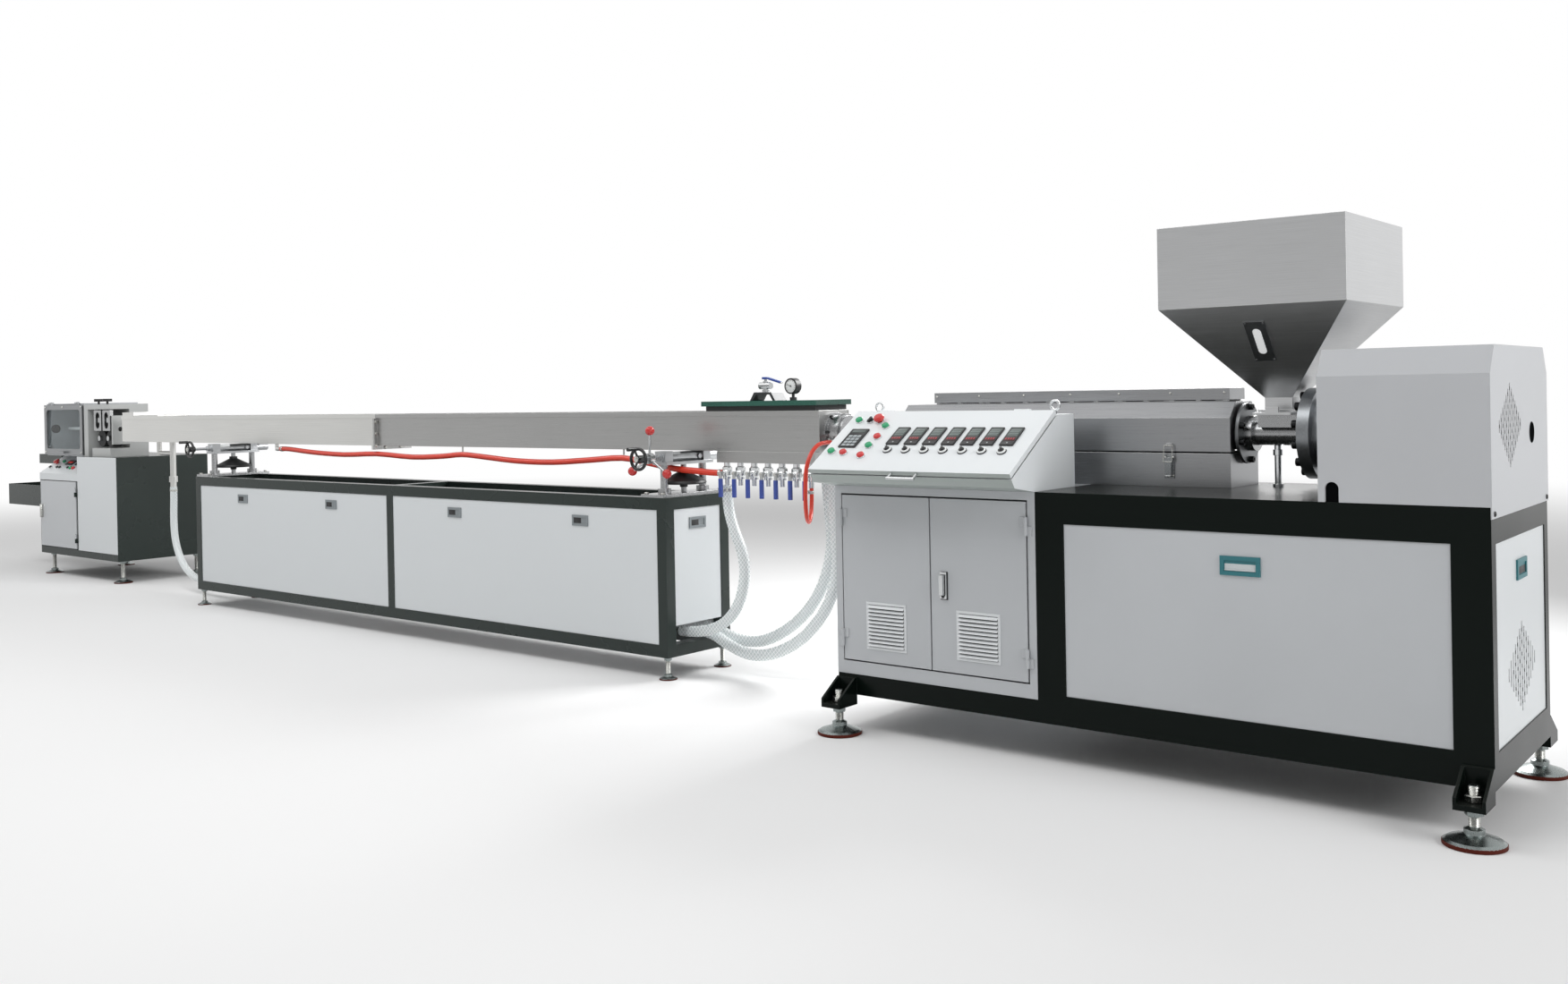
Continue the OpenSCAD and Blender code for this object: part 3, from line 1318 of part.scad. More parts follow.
module cutter_door() placed() color(light_grey) {
    y0 = cutter_door_y - 2;
    t = door_sheet;
    difference() {
        box(cutter_door_x0, cutter_door_x1, y0, y0 + door_depth, cutter_door_z0, cutter_door_z1);
        box(cutter_door_x0 + t, cutter_door_x1 - t, y0 + t, y0 + door_depth + e, cutter_door_z0 + t,
            cutter_door_z1 - t);
    }
    for (z = [cutter_door_z0 + 40, cutter_door_z1 - 40 - hinge_length])
        translate([cutter_door_x1 + door_gap/2, cutter_pin_y, z]) {
            knuckle_half();
            translate([0, 0, hinge_length/2])
                leaf(-22, 0, knuckle_dia/2 - 3, y0 - cutter_pin_y, 0, hinge_length/2 - 2);
        }
    box(cutter_door_x0 + 22, cutter_door_x0 + 36, y0 - 18, y0, (cutter_door_z0 + cutter_door_z1)/2 - 30,
        (cutter_door_z0 + cutter_door_z1)/2 + 60);
}

// Places children on the sloped desk, z pointing out
module on_desk() {
    translate([cutter_x0, cutter_y0 - skin*sin(desk_angle), desk_z0 + skin*cos(desk_angle)])
        rotate([desk_angle, 0, 0]) children();
}

module cutter_controls() placed() color(black) {
    upper = desk_run*0.62;
    lower = desk_run*0.32;
    on_desk() {
        translate([58, upper, 0]) cylinder(d = 18, h = 12);
        translate([58, upper, 10]) cylinder(d = 44, h = 16);
        translate([140, upper + 14, 0]) cylinder(d = 30, h = 18);
        for (x = [216, 366])
            translate([x, upper - 20, 0]) cube([96, 48, 8]);
        translate([58, lower, 0]) cylinder(d = 26, h = 16);
        for (x = [164, 204, 330, 370, 410])
            translate([x, lower, 0]) cylinder(d = 24, h = 14);
    }
}

module discharge_chute() placed() color(green_grey) {
    y0 = chute_y0;
    y1 = y0 + chute_width;
    t = 4;
    x0 = line_left;
    rim = chute_height + chute_wall;
    rise = 110;
    hood_x0 = cutter_x0 - hood_length;
    hood_z0 = cutter_height - hood_skirt;
    difference() {
        union() {
            box(x0, cutter_x0, y0, y1, chute_height, rim);
            along_y(y1 - t, y1, [[x0, rim - e], [cutter_x0, rim - e], [cutter_x0, rim + rise]]);
        }
        box(x0 + t, cutter_x0 + e, y0 + t, y1 - t, chute_height + t, rim + e);
    }
    difference() {
        box(hood_x0, cutter_x0, y0, y1, hood_z0, cutter_height);
        box(hood_x0 + t, cutter_x0 + e, y0 + t, y1 - t, hood_z0 - e, cutter_height - t);
    }
}

module cutter_housing() placed() color(light_grey) {
    t = cutter_sheet;
    y1 = guard_y0 + guard_depth;
    difference() {
        box(guard_x0, guard_x1, guard_y0, y1, cutter_height, guard_z1);
        box(guard_x0 + t, guard_x1 - t, guard_y0 - e, y1 - t, cutter_height + t, guard_z1 - t);
        rod_x(axis_y, axis_height, 60, guard_x0 - e, guard_x1 + e);
    }
    for (x = [guard_x0 + 60, guard_x1 - 60 - hinge_length])
        translate([x, guard_pin_y, guard_pin_z]) {
            rotate([0, 90, 0]) pin_half();
            translate([0, 0, -knuckle_dia/2 - 2]) cube([hinge_length/2 - 0.3, 20, 5]);
        }
}

module cutter_guard() placed() color(steel) {
    y0 = guard_y0 - 5 - 14;
    z0 = cutter_height + 8;
    z1 = guard_z1 - 8;
    r = 26;
    difference() {
        box(guard_x0, guard_x1, y0, y0 + 14, z0, z1);
        translate([0, y0 - e, 0]) hull()
            for (x = [guard_x0 + 34 + r, guard_x1 - 34 - r], z = [z0 + 40 + r, z1 - 34 - r])
                translate([x, 0, z]) rotate([-90, 0, 0]) cylinder(r = r, h = 14 + 2*e);
    }
    for (x = [guard_x0 + 60, guard_x1 - 60 - hinge_length])
        translate([x, guard_pin_y, guard_pin_z]) {
            rotate([0, 90, 0]) knuckle_half();
            translate([hinge_length/2, 0, 0]) difference() {
                translate([0, y0 - guard_pin_y, -32]) cube([hinge_length/2 - 2, 14, 30]);
                translate([-e, 0, 0]) rotate([0, 90, 0])
                    cylinder(d = pin_dia + 2*pin_gap, h = hinge_length);
            }
        }
    box((guard_x0 + guard_x1)/2 - 50, (guard_x0 + guard_x1)/2 + 50, y0 - 22, y0, z0 + 10, z0 + 24);
}

module guard_window() placed() color([0.85, 0.90, 0.92, 0.35]) {
    y0 = guard_y0 - 5;
    box(guard_x0 + 16, guard_x1 - 16, y0, y0 + 4, cutter_height + 24, guard_z1 - 24);
}

module cutter_shaft() placed() color(steel) {
    y = axis_y + 96;
    rod_x(y, axis_height, 24, guard_x0 + cutter_sheet, guard_x1 - cutter_sheet);
    rod_x(y, axis_height, disc_dia, guard_x1 - 96, guard_x1 - 90);
    rod_x(y, axis_height, 60, guard_x1 - 120, guard_x1 - 66);
}

module puller_housing() placed() color(pale_grey) {
    front = slide_y0 - 12;
    wall = 58;
    end_plate = 14;
    difference() {
        union() {
            box(puller_x0, puller_x1, puller_y0, puller_y0 + 125, cutter_height, puller_top);
            box(puller_x0, puller_x1, front, puller_y0 + e, slide_z1 + 6, puller_top);
            box(puller_x0, puller_x0 + wall, front, puller_y0 + e, cutter_height, puller_top);
            box(roller_x[0] - roller_dia/2, puller_x1, front, puller_y0 + e, cutter_height,
                roller_low - roller_dia/2 - 8);
            box(puller_x1 - end_plate, puller_x1, axis_y - 52, puller_y0 + e, axis_height - 100,
                axis_height + 90);
        }
        rod_x(axis_y, axis_height, 30, puller_x0 - e, puller_x1 + e);
        for (x = roller_x)
            rod_z(x, slide_y0 + slide_thick/2, knob_screw + 0.6, slide_z1, puller_top + e);
    }
}

// Slides of the upper rollers
module puller_slides() placed() color(pale_grey) {
    slot = 54;
    for (x = roller_x)
        difference() {
            box(x - slide_width/2, x + slide_width/2, slide_y0, slide_y0 + slide_thick, slide_z0, slide_z1);
            box(x - slot/2, x + slot/2, slide_y0 - e, slide_y0 + slide_thick + e, slide_z0 + 14 + slot/2,
                slide_z1 - 14 - slot/2);
            for (z = [slide_z0 + 14 + slot/2, slide_z1 - 14 - slot/2])
                rod_y(x, z, slot, slide_y0 - e, slide_y0 + slide_thick + e);
        }
}

// Grooved rollers, each on its shaft
module pull_rollers() placed() color(black) {
    groove = 7;
    hub = 34;
    for (x = roller_x, z = [roller_low, roller_high])
        translate([x, axis_y, z]) rotate([-90, 0, 0]) {
            difference() {
                translate([0, 0, -roller_width/2]) cylinder(d = roller_dia, h = roller_width);
                for (i = [0:groove_count - 1])
                    rotate([0, 0, i*360/groove_count]) translate([roller_dia/2, 0, -roller_width/2 - e])
                        cylinder(d = groove, h = roller_width + 2*e, $fn = 16);
            }
            translate([0, 0, -roller_width/2 - 20]) cylinder(d = hub, h = 22);
            cylinder(d = hub - 4, h = puller_y0 - axis_y);
        }
}

// Star knobs on the screws that set the slides
module star_knobs() placed() color(black) {
    knob = 58;
    for (x = roller_x)
        translate([x, slide_y0 + slide_thick/2, 0]) {
            rod_z(0, 0, knob_screw, slide_z1, puller_top + 22);
            translate([0, 0, puller_top + 18]) difference() {
                cylinder(d = knob, h = 18);
                for (a = [0:60:300])
                    rotate([0, 0, a]) translate([knob*0.62, 0, -e]) cylinder(d = 24, h = 18 + 2*e);
            }
        }
}

module drain_hose() placed() color(clear_hose) hose(drain_route, drain_dia, 2);

module overflow_hose() placed() color(clear_hose) hose(overflow_route, overflow_dia, 2);

module return_hose_outer() placed() color(clear_hose) hose(outer_route, return_dia, 2);

module return_hose_inner() placed() color(clear_hose) hose(inner_route, return_dia, 2);

module red_hose() placed() color(red) hose(red_route, red_dia, 2);

module red_link_hose() placed() color(red) hose(link_route, link_dia, 2);

extruder_base();
side_panels();
flush_pulls();
gearbox_cover();
bearing_flange();
feed_throat();
slide_gate();
hopper();
hopper_window();
barrel();
die_head();
cooling_pipe();
heater_cover_lower();
heater_cover_upper();
ridge_vent_cap();
cover_latch();
control_cabinet();
cabinet_door_left();
cabinet_door_right();
door_lock();
console_housing();
console_lid();
console_handle();
console_instruments();
lifting_eyes();
levelling_feet();
stand_frame();
support_posts();
lift_wheels();
support_heads();
handwheel_left();
handwheel_right();
clamp_lever();
trough_left();
trough_right();
trough_end_plate();
lid_gasket();
lid_glass();
vacuum_fittings();
water_manifold();
ball_valves();
valve_levers();
cutter_cabinet();
cutter_door();
cutter_controls();
discharge_chute();
cutter_housing();
cutter_guard();
guard_window();
cutter_shaft();
puller_housing();
puller_slides();
pull_rollers();
star_knobs();
drain_hose();
overflow_hose();
return_hose_outer();
return_hose_inner();
red_hose();
red_link_hose();
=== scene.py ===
import math
import bpy
from mathutils import Matrix, Vector


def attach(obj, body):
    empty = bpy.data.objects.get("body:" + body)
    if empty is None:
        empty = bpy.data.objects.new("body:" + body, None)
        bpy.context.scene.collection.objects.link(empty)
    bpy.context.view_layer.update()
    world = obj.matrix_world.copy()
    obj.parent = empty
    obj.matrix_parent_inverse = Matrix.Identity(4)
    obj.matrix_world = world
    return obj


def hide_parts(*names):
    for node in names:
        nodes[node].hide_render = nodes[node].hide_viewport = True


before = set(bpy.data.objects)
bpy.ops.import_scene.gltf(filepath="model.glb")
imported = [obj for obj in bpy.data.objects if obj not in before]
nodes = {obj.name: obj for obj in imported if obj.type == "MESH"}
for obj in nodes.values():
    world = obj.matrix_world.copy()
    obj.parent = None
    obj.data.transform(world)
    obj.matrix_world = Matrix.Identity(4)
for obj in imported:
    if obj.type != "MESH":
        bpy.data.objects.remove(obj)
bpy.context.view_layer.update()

# CAMERA
# Chest height in front of the drive end, looking along the line to the cutter. The lens and the shift give
# the framing of a 1752 by 1100 picture.
picture_wide, picture_high = 1752, 1100
focal_pixels, centre_row = 1539.61, 448.78
eye = Vector((5.8811, -4.1708, 1.1496))
turn, tilt, roll = 0.6853, -0.0055, -0.0188
lens_data = bpy.data.cameras.new("line_view")
lens_data.sensor_width = 36.0
lens_data.lens = focal_pixels / picture_wide * 36.0
lens_data.shift_y = (centre_row - picture_high / 2) / picture_wide
lens_data.clip_end = 200.0
viewer = bpy.data.objects.new("line_view", lens_data)
bpy.context.scene.collection.objects.link(viewer)
ahead = Vector((-math.sin(turn) * math.cos(tilt), math.cos(turn) * math.cos(tilt), math.sin(tilt)))
level = Vector((math.cos(turn), math.sin(turn), 0.0))
upward = level.cross(ahead)
side = math.cos(roll) * level + math.sin(roll) * upward
top = -math.sin(roll) * level + math.cos(roll) * upward
viewer.matrix_world = Matrix((*zip(side, top, -ahead, eye), (0.0, 0.0, 0.0, 1.0)))
bpy.context.scene.camera = viewer


# CLEAR DRAIN AND RETURN HOSES
# Soft clear vinyl hose with a white braid moulded in the wall, pushed over steel spigots under the trough
# and led down into the end slots of the stand. Each is one smooth curve with a round section.
def on_line(x, y, z):
    """A point given in millimetres from the front corner of the drive end."""
    return Vector((x + 5072.0, y - 416.9668, z)) / 1000.0


def smooth_route(points, steps):
    """Points on one smooth curve through the given points."""
    held = [Vector(p) for p in points]
    path = []
    for i in range(len(held) - 1):
        before, start, stop = held[max(i - 1, 0)], held[i], held[i + 1]
        after = held[min(i + 2, len(held) - 1)]
        for k in range(steps):
            t = k / steps
            path.append(start + (stop - before) * t / 2
                        + (2 * before - 5 * start + 4 * stop - after) * t * t / 2
                        + (3 * start - before - 3 * stop + after) * t * t * t / 2)
    return path + [held[-1]]


def hose(name, node, points, diameter):
    """A round hose that leaves one fitting and ends in another part of the line."""
    path = [on_line(*p) for p in smooth_route(points, 3)]
    line = bpy.data.curves.new(name, "CURVE")
    line.dimensions = "3D"
    line.bevel_depth = 1.0
    line.bevel_resolution = 6
    line.use_fill_caps = True
    run = line.splines.new("POLY")
    run.points.add(len(path) - 1)
    for point, place in zip(run.points, path):
        point.co = (*place, 1.0)
        point.radius = diameter / 2000.0
    run.use_smooth = True
    piece = bpy.data.objects.new(name, line)
    bpy.context.scene.collection.objects.link(piece)
    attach(piece, "line_frame")
    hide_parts(node)
    return piece


drain_points = [
    (-7610, 496, 640), (-7610, 496, 560), (-7606, 491, 450), (-7580, 483, 330), (-7512, 472, 228),
    (-7400, 458, 146), (-7240, 440, 102), (-7080, 425, 108), (-6940, 412, 145), (-6850, 405, 170),
    (-6770, 400, 178)]
overflow_points = [
    (-2904, 417.5, 785), (-2904, 417.5, 725), (-2889, 413, 660), (-2855, 406, 590), (-2818, 401, 520),
    (-2803, 398, 445), (-2815, 395, 362), (-2850, 392, 288), (-2906, 388, 232), (-2985, 384, 194),
    (-3065, 380, 180), (-3140, 380, 178)]
outer_points = [
    (-2450, 520, 860), (-2450, 520, 780), (-2434, 515, 640), (-2422, 506, 490), (-2444, 498, 365),
    (-2505, 491, 262), (-2605, 486, 170), (-2735, 480, 108), (-2850, 474, 94), (-2950, 468, 122),
    (-3040, 463, 160), (-3140, 460, 178)]
inner_points = [
    (-2500, 556, 860), (-2500, 556, 780), (-2482, 550, 640), (-2480, 545, 520), (-2520, 542, 395),
    (-2595, 539, 288), (-2700, 535, 202), (-2825, 532, 144), (-2940, 530, 134), (-3040, 530, 156),
    (-3140, 530, 178)]
clear_hoses = [
    hose("drain_hose_run", "drain_hose", drain_points, 42),
    hose("overflow_hose_run", "overflow_hose", overflow_points, 44),
    hose("outer_return_run", "return_hose_outer", outer_points, 46),
    hose("inner_return_run", "return_hose_inner", inner_points, 46)]

# RED WATER HOSES
# Red polyurethane hose: the long one hangs in shallow sags from clips under the trough and feeds the first
# valve; the short link loops from the last valve up to the nipple of the sizing flange.
red_points = [
    (-6235, 420, 895), (-6150, 420, 895), (-5900, 415, 880), (-5600, 410, 872), (-5302, 405, 880),
    (-5000, 405, 868), (-4750, 405, 876), (-4604, 405, 886), (-4450, 405, 878), (-4200, 405, 862),
    (-3950, 405, 860), (-3700, 405, 874), (-3494, 400, 886), (-3330, 385, 870), (-3155, 376, 848),
    (-3050, 390, 840), (-2985, 408, 834), (-2925.3, 417.5, 833)]
link_points = [
    (-2472, 417.5, 785), (-2472, 417.5, 743), (-2460, 396, 686), (-2431, 346, 661), (-2401, 295, 686),
    (-2389, 274, 745), (-2387, 273, 810), (-2386, 280, 870), (-2383, 304, 922), (-2379, 343, 954),
    (-2374, 390, 962), (-2372, 436, 962)]
red_hoses = [
    hose("red_hose_run", "red_hose", red_points, 26),
    hose("red_link_run", "red_link_hose", link_points, 16)]


# EXTRUDER BASE
# A welded frame of square steel tube with four foot brackets, shot-blasted and powder-coated in a dark
# green-black. The coat has a fine orange-peel skin and is a touch thinner and lighter on edges.
def lead(tree, node, inputs):
    """Gives each named input of a node its value, or leads it from another node's output."""
    for label, value in inputs.items():
        if isinstance(value, bpy.types.NodeSocket):
            tree.links.new(value, node.inputs[label])
        else:
            node.inputs[label].default_value = value


def add_node(tree, kind, inputs=None, **traits):
    """A node with its traits set and its inputs led."""
    node = tree.nodes.new("ShaderNode" + kind)
    for trait, value in traits.items():
        setattr(node, trait, value)
    lead(tree, node, inputs or {})
    return node


def effect(name, given, outputs):
    """An empty node group with one given value: the group, that value, and the node of its outputs."""
    group = bpy.data.node_groups.new(name, "ShaderNodeTree")
    label, kind, value = given
    group.interface.new_socket(label, in_out="INPUT", socket_type="NodeSocket" + kind).default_value = value
    for result, kind in outputs.items():
        group.interface.new_socket(result, in_out="OUTPUT", socket_type="NodeSocket" + kind)
    return group, group.nodes.new("NodeGroupInput").outputs[label], group.nodes.new("NodeGroupOutput")


eased_edge, radius, edge_out = effect(
    "eased_edge", ("Radius", "Float", 0.002), {"Normal": "Vector", "Edge": "Float"})
rounded = add_node(eased_edge, "Bevel", {"Radius": radius}, samples=4).outputs["Normal"]
flat = add_node(eased_edge, "NewGeometry").outputs["True Normal"]
across = add_node(eased_edge, "VectorMath", {0: rounded, 1: flat}, operation="DOT_PRODUCT").outputs["Value"]
bared = add_node(eased_edge, "MapRange", {"Value": across, "From Min": 0.995, "From Max": 0.80})
lead(eased_edge, edge_out, {"Normal": rounded, "Edge": bared.outputs["Result"]})

coat_skin, grain, skin_out = effect(
    "coat_skin", ("Grain", "Float", 700.0), {"Height": "Float", "Patch": "Float", "Dust": "Float"})
where = add_node(coat_skin, "TexCoord").outputs["Object"]
peel = add_node(coat_skin, "TexNoise", {"Vector": where, "Scale": grain, "Detail": 1.0}).outputs["Fac"]
cloud = add_node(coat_skin, "TexNoise", {"Vector": where, "Scale": 2.3, "Detail": 4.0}).outputs["Fac"]
upper = add_node(coat_skin, "NewGeometry").outputs["True Normal"]
lift = add_node(coat_skin, "SeparateXYZ", {"Vector": upper}).outputs["Z"]
level_part = add_node(coat_skin, "MapRange", {"Value": lift, "From Min": 0.6}).outputs["Result"]
settled = add_node(coat_skin, "Math", {0: level_part, 1: cloud}, operation="MULTIPLY").outputs["Value"]
lead(coat_skin, skin_out, {"Height": peel, "Patch": cloud, "Dust": settled})


def tone(code):
    """A paint-card colour, written as on screen, as light values."""
    parts = [int(code[i:i + 2], 16) / 255.0 for i in (0, 2, 4)]
    return [p / 12.92 if p <= 0.04045 else ((p + 0.055) / 1.055) ** 2.4 for p in parts]


def shade(code, share):
    """A paint-card colour made darker or lighter."""
    return [min(1.0, c * share) for c in tone(code)]


def start_finish(name):
    """A new material with its shader, ready for nodes."""
    finish = bpy.data.materials.new(name)
    finish.use_nodes = True
    return finish, finish.node_tree, finish.node_tree.nodes["Principled BSDF"]


def place_effect(tree, group, **values):
    """The outputs of a group placed in a material with its own values."""
    return add_node(tree, "Group", values, node_tree=group).outputs


def spread(tree, source, low, high):
    """A value between two ends, led by a 0 to 1 source."""
    return add_node(tree, "MapRange", {"Value": source, "To Min": low, "To Max": high}).outputs["Result"]


def blend_colour(tree, factor, first, second):
    """Two colours mixed by a mask; either may be an output of another node."""
    node = add_node(tree, "Mix", {"Factor": factor}, data_type="RGBA")
    for socket, colour in zip([s for s in node.inputs if s.type == "RGBA"], (first, second)):
        if isinstance(colour, bpy.types.NodeSocket):
            tree.links.new(colour, socket)
        else:
            socket.default_value = (*colour, 1.0)
    return [s for s in node.outputs if s.type == "RGBA"][0]


def relief(tree, height, strength, distance, **normal):
    """The normal of a surface with a fine relief."""
    return add_node(tree, "Bump", {"Height": height, "Strength": strength, "Distance": distance, **normal}
                    ).outputs["Normal"]


def painted(name, code, worn, gloss, grain=700.0, skin=0.06, shine=0.5):
    """Powder coat: body colour, lighter worn edges, dusty tops and a fine skin."""
    finish, tree, shader = start_finish(name)
    edges = place_effect(tree, eased_edge, Radius=0.0025)
    coat = place_effect(tree, coat_skin, Grain=grain)
    clean = blend_colour(tree, spread(tree, coat["Patch"], 0.0, 1.0), shade(code, 0.93), shade(code, 1.06))
    dusty = blend_colour(tree, spread(tree, coat["Dust"], 0.0, 0.05), clean, tone("b9b6ae"))
    lead(tree, shader, {
        "Base Color": blend_colour(tree, spread(tree, edges["Edge"], 0.0, 0.35), dusty, tone(worn)),
        "Roughness": spread(tree, coat["Patch"], gloss - 0.06, gloss + 0.08),
        "Specular IOR Level": shine,
        "Normal": relief(tree, coat["Height"], skin, 0.0004, Normal=edges["Normal"])})
    return finish


def coat_nodes(finish, *names):
    """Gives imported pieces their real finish."""
    for name in names:
        for slot in nodes[name].material_slots:
            slot.material = finish


coat_nodes(painted("dark_green_coat", "0a110e", "323d38", 0.22, shine=0.1), "extruder_base")


# LOOSE PANELS
# Folded steel sheets in light grey powder coat that stand in the frames of the extruder and the stand. They
# are lifted out by hand, so the coat is clean and only slightly rubbed; the stand's are painted a shade
# lighter, painted light for the brighter light there.
def along(tree, axis):
    """The place on a piece along one axis of the line."""
    place = add_node(tree, "TexCoord").outputs["Object"]
    return add_node(tree, "SeparateXYZ", {"Vector": place}).outputs[axis]


loose_coat = painted("loose_panel_coat", "bcbfc2", "d6d7d8", 0.30, 900.0, 0.05)
extruder_middle, extruder_reach = 3.84, 1.22
tree = loose_coat.node_tree
base_colour = tree.nodes["Principled BSDF"].inputs["Base Color"]
# Panels outside the extruder take a lighter grey: painted light, one coat shown as a lit and a shaded copy.
in_extruder = add_node(tree, "Math", {0: along(tree, "X"), 1: extruder_middle, 2: extruder_reach},
                       operation="COMPARE").outputs["Value"]
sheet_tone = base_colour.links[0].from_socket
tree.links.new(blend_colour(tree, in_extruder, tone("d0d4d6"), sheet_tone), base_colour)
coat_nodes(loose_coat, "side_panels")


# RECESSED PULLS
# Moulded plastic frames pressed into the panels: teal ones on the extruder, grey ones on the stand. Each has
# a sprung flap in its pocket that the fingers push back.
def beyond(tree, axis, value):
    """A mask: one where a place along an axis is greater than a value."""
    return add_node(tree, "Math", {0: along(tree, axis), 1: value}, operation="GREATER_THAN").outputs["Value"]


pull_finish, tree, shader = start_finish("pull_plastic")
moulded = place_effect(tree, coat_skin, Grain=1400.0)["Patch"]
pull_tone = blend_colour(tree, beyond(tree, "X", 2.6), tone("7d8386"), tone("0a6a72"))
lead(tree, shader, {
    "Base Color": blend_colour(tree, spread(tree, moulded, 0.0, 0.12), pull_tone, tone("8fa0a2")),
    "Roughness": spread(tree, moulded, 0.3, 0.45)})
coat_nodes(pull_finish, "flush_pulls")


def pick(*pieces):
    """Selects only the given pieces, the first one active."""
    bpy.ops.object.select_all(action="DESELECT")
    for piece in pieces:
        piece.select_set(True)
    if pieces:
        bpy.context.view_layer.objects.active = pieces[0]


def settle(piece, name, finish, moves=None, body="line_frame"):
    """Names a finished piece, puts it in one place or in each of a list, and fixes it to its body."""
    if isinstance(moves, list):
        piece = repeated(piece, moves)
    elif moves is not None:
        piece.data.transform(moves)
    piece.name = name
    piece.data.name = name
    piece.data.materials.clear()
    piece.data.materials.append(finish)
    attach(piece, body)
    return piece


def to_metres(x, y, z):
    """A point on a piece, given in millimetres."""
    return Vector((x, y, z)) / 1000.0


def block(low, high, edge, place=to_metres):
    """A square-cut piece between two corners in millimetres, its edges eased."""
    low, high = place(*low), place(*high)
    pick()
    bpy.ops.mesh.primitive_cube_add(size=1.0, location=(low + high) / 2)
    piece = bpy.context.object
    piece.scale = high - low
    bpy.ops.object.transform_apply(location=True, rotation=True, scale=True)
    bpy.ops.object.mode_set(mode="EDIT")
    bpy.ops.mesh.select_all(action="SELECT")
    bpy.ops.mesh.bevel(offset=edge / 1000.0, segments=2, affect="EDGES")
    bpy.ops.object.mode_set(mode="OBJECT")
    bpy.ops.object.shade_smooth_by_angle(angle=math.radians(40))
    return piece


def joined(pieces):
    """Several pieces as one mesh."""
    pick(*pieces)
    if len(pieces) > 1:
        bpy.ops.object.join()
    return pieces[0]


def repeated(piece, moves):
    """Copies of a piece, each with its own mesh, at each of the given places."""
    copies = []
    for move in moves:
        pick(piece)
        bpy.ops.object.duplicate(linked=False)
        copies.append(bpy.context.object)
        copies[-1].data.transform(move)
    bpy.data.objects.remove(piece)
    return joined(copies)


def at(x, y, z):
    """The move of a piece from the origin to a point on the line, in millimetres."""
    return Matrix.Translation(on_line(x, y, z))


def plastic(name, code, gloss, shine=0.5):
    """Moulded plastic with a fine matt grain."""
    finish, tree, shader = start_finish(name)
    skin = place_effect(tree, coat_skin, Grain=1600.0)
    lead(tree, shader, {
        "Base Color": blend_colour(tree, skin["Patch"], shade(code, 0.85), shade(code, 1.12)),
        "Roughness": spread(tree, skin["Patch"], gloss - 0.08, gloss + 0.08),
        "Specular IOR Level": shine,
        "Normal": relief(tree, skin["Height"], 0.05, 0.0003)})
    return finish


black_plastic = plastic("black_plastic", "1b1c1d", 0.42)
flap_plastic = plastic("flap_plastic", "c3c8c9", 0.4)
half_turn, quarter_turn = Matrix.Rotation(math.pi, 4, "Z"), Matrix.Rotation(math.pi / 2, 4, "Z")
flap_plate = ((-44, -2.6, -13.5), (44, -1.2, 6), 0.5)
lip = block((-44, -4.2, -13.5), (44, -1.2, -9.5), 0.8)
settle(joined([block(*flap_plate), lip]), "extruder_pull_flaps", flap_plastic,
       [at(-637, 3, 647), at(-637, 677, 647) @ half_turn])
settle(block(*flap_plate), "end_pull_flap", black_plastic, at(-3, 340, 647) @ quarter_turn)
small_flap = block((-38, -2.4, -11.5), (6, -1, 11.5), 0.4)
stand_moves = [at(-4956 + s * 938 + p * 430, y, 626) @ way
               for s in (-1, 1) for p in (-1, 1) for y, way in ((238, Matrix()), (612, half_turn))]
stand_moves += [at(-3083, 425, 626) @ quarter_turn, at(-6829, 425, 626) @ quarter_turn.inverted()]
settle(small_flap, "stand_pull_flaps", black_plastic, stand_moves)


# GEARBOX COVER
# Folded sheet cover over the drive, in the same light coat, with a pressed diamond of vent slots. It hangs
# over the end of the table and is held there by two domed screws.
def turned(rings, sides=32):
    """A turned piece on the Z axis, drawn out ring by ring from (height, radius) pairs in millimetres."""
    pick()
    rings = [(height / 1000.0, radius / 1000.0) for height, radius in rings]
    bpy.ops.mesh.primitive_circle_add(vertices=sides, radius=rings[0][1], fill_type="NGON")
    piece = bpy.context.object
    piece.data.transform(Matrix.Translation((0, 0, rings[0][0])))
    bpy.ops.object.mode_set(mode="EDIT")
    bpy.ops.mesh.select_all(action="SELECT")
    for (height, radius), (next_height, next_radius) in zip(rings, rings[1:]):
        bpy.ops.mesh.extrude_region_move(TRANSFORM_OT_translate={"value": (0, 0, next_height - height)})
        share = next_radius / radius
        bpy.ops.transform.resize(value=(share, share, 1.0), center_override=(0, 0, next_height))
    bpy.ops.mesh.select_all(action="SELECT")
    bpy.ops.mesh.normals_make_consistent(inside=False)
    bpy.ops.object.mode_set(mode="OBJECT")
    bpy.ops.object.shade_smooth_by_angle(angle=math.radians(35))
    return piece


def facing_to(place, direction):
    """The move that stands a piece drawn on Z at a place, pointing in a direction."""
    return Matrix.Translation(place) @ Vector(direction).to_track_quat("Z", "Y").to_matrix().to_4x4()


def bright_metal(name, code, gloss, lines=260.0):
    """Machined or plated metal with faint tool marks."""
    finish, tree, shader = start_finish(name)
    skin = place_effect(tree, coat_skin, Grain=lines)["Height"]
    edges = place_effect(tree, eased_edge, Radius=0.0012)
    mixed = blend_colour(tree, skin, shade(code, 0.82), shade(code, 1.12))
    lead(tree, shader, {
        "Base Color": blend_colour(tree, spread(tree, edges["Edge"], 0.0, 0.4), mixed, tone("e6e6e4")),
        "Metallic": 1.0,
        "Roughness": spread(tree, skin, gloss - 0.05, gloss + 0.1),
        "Normal": edges["Normal"]})
    return finish


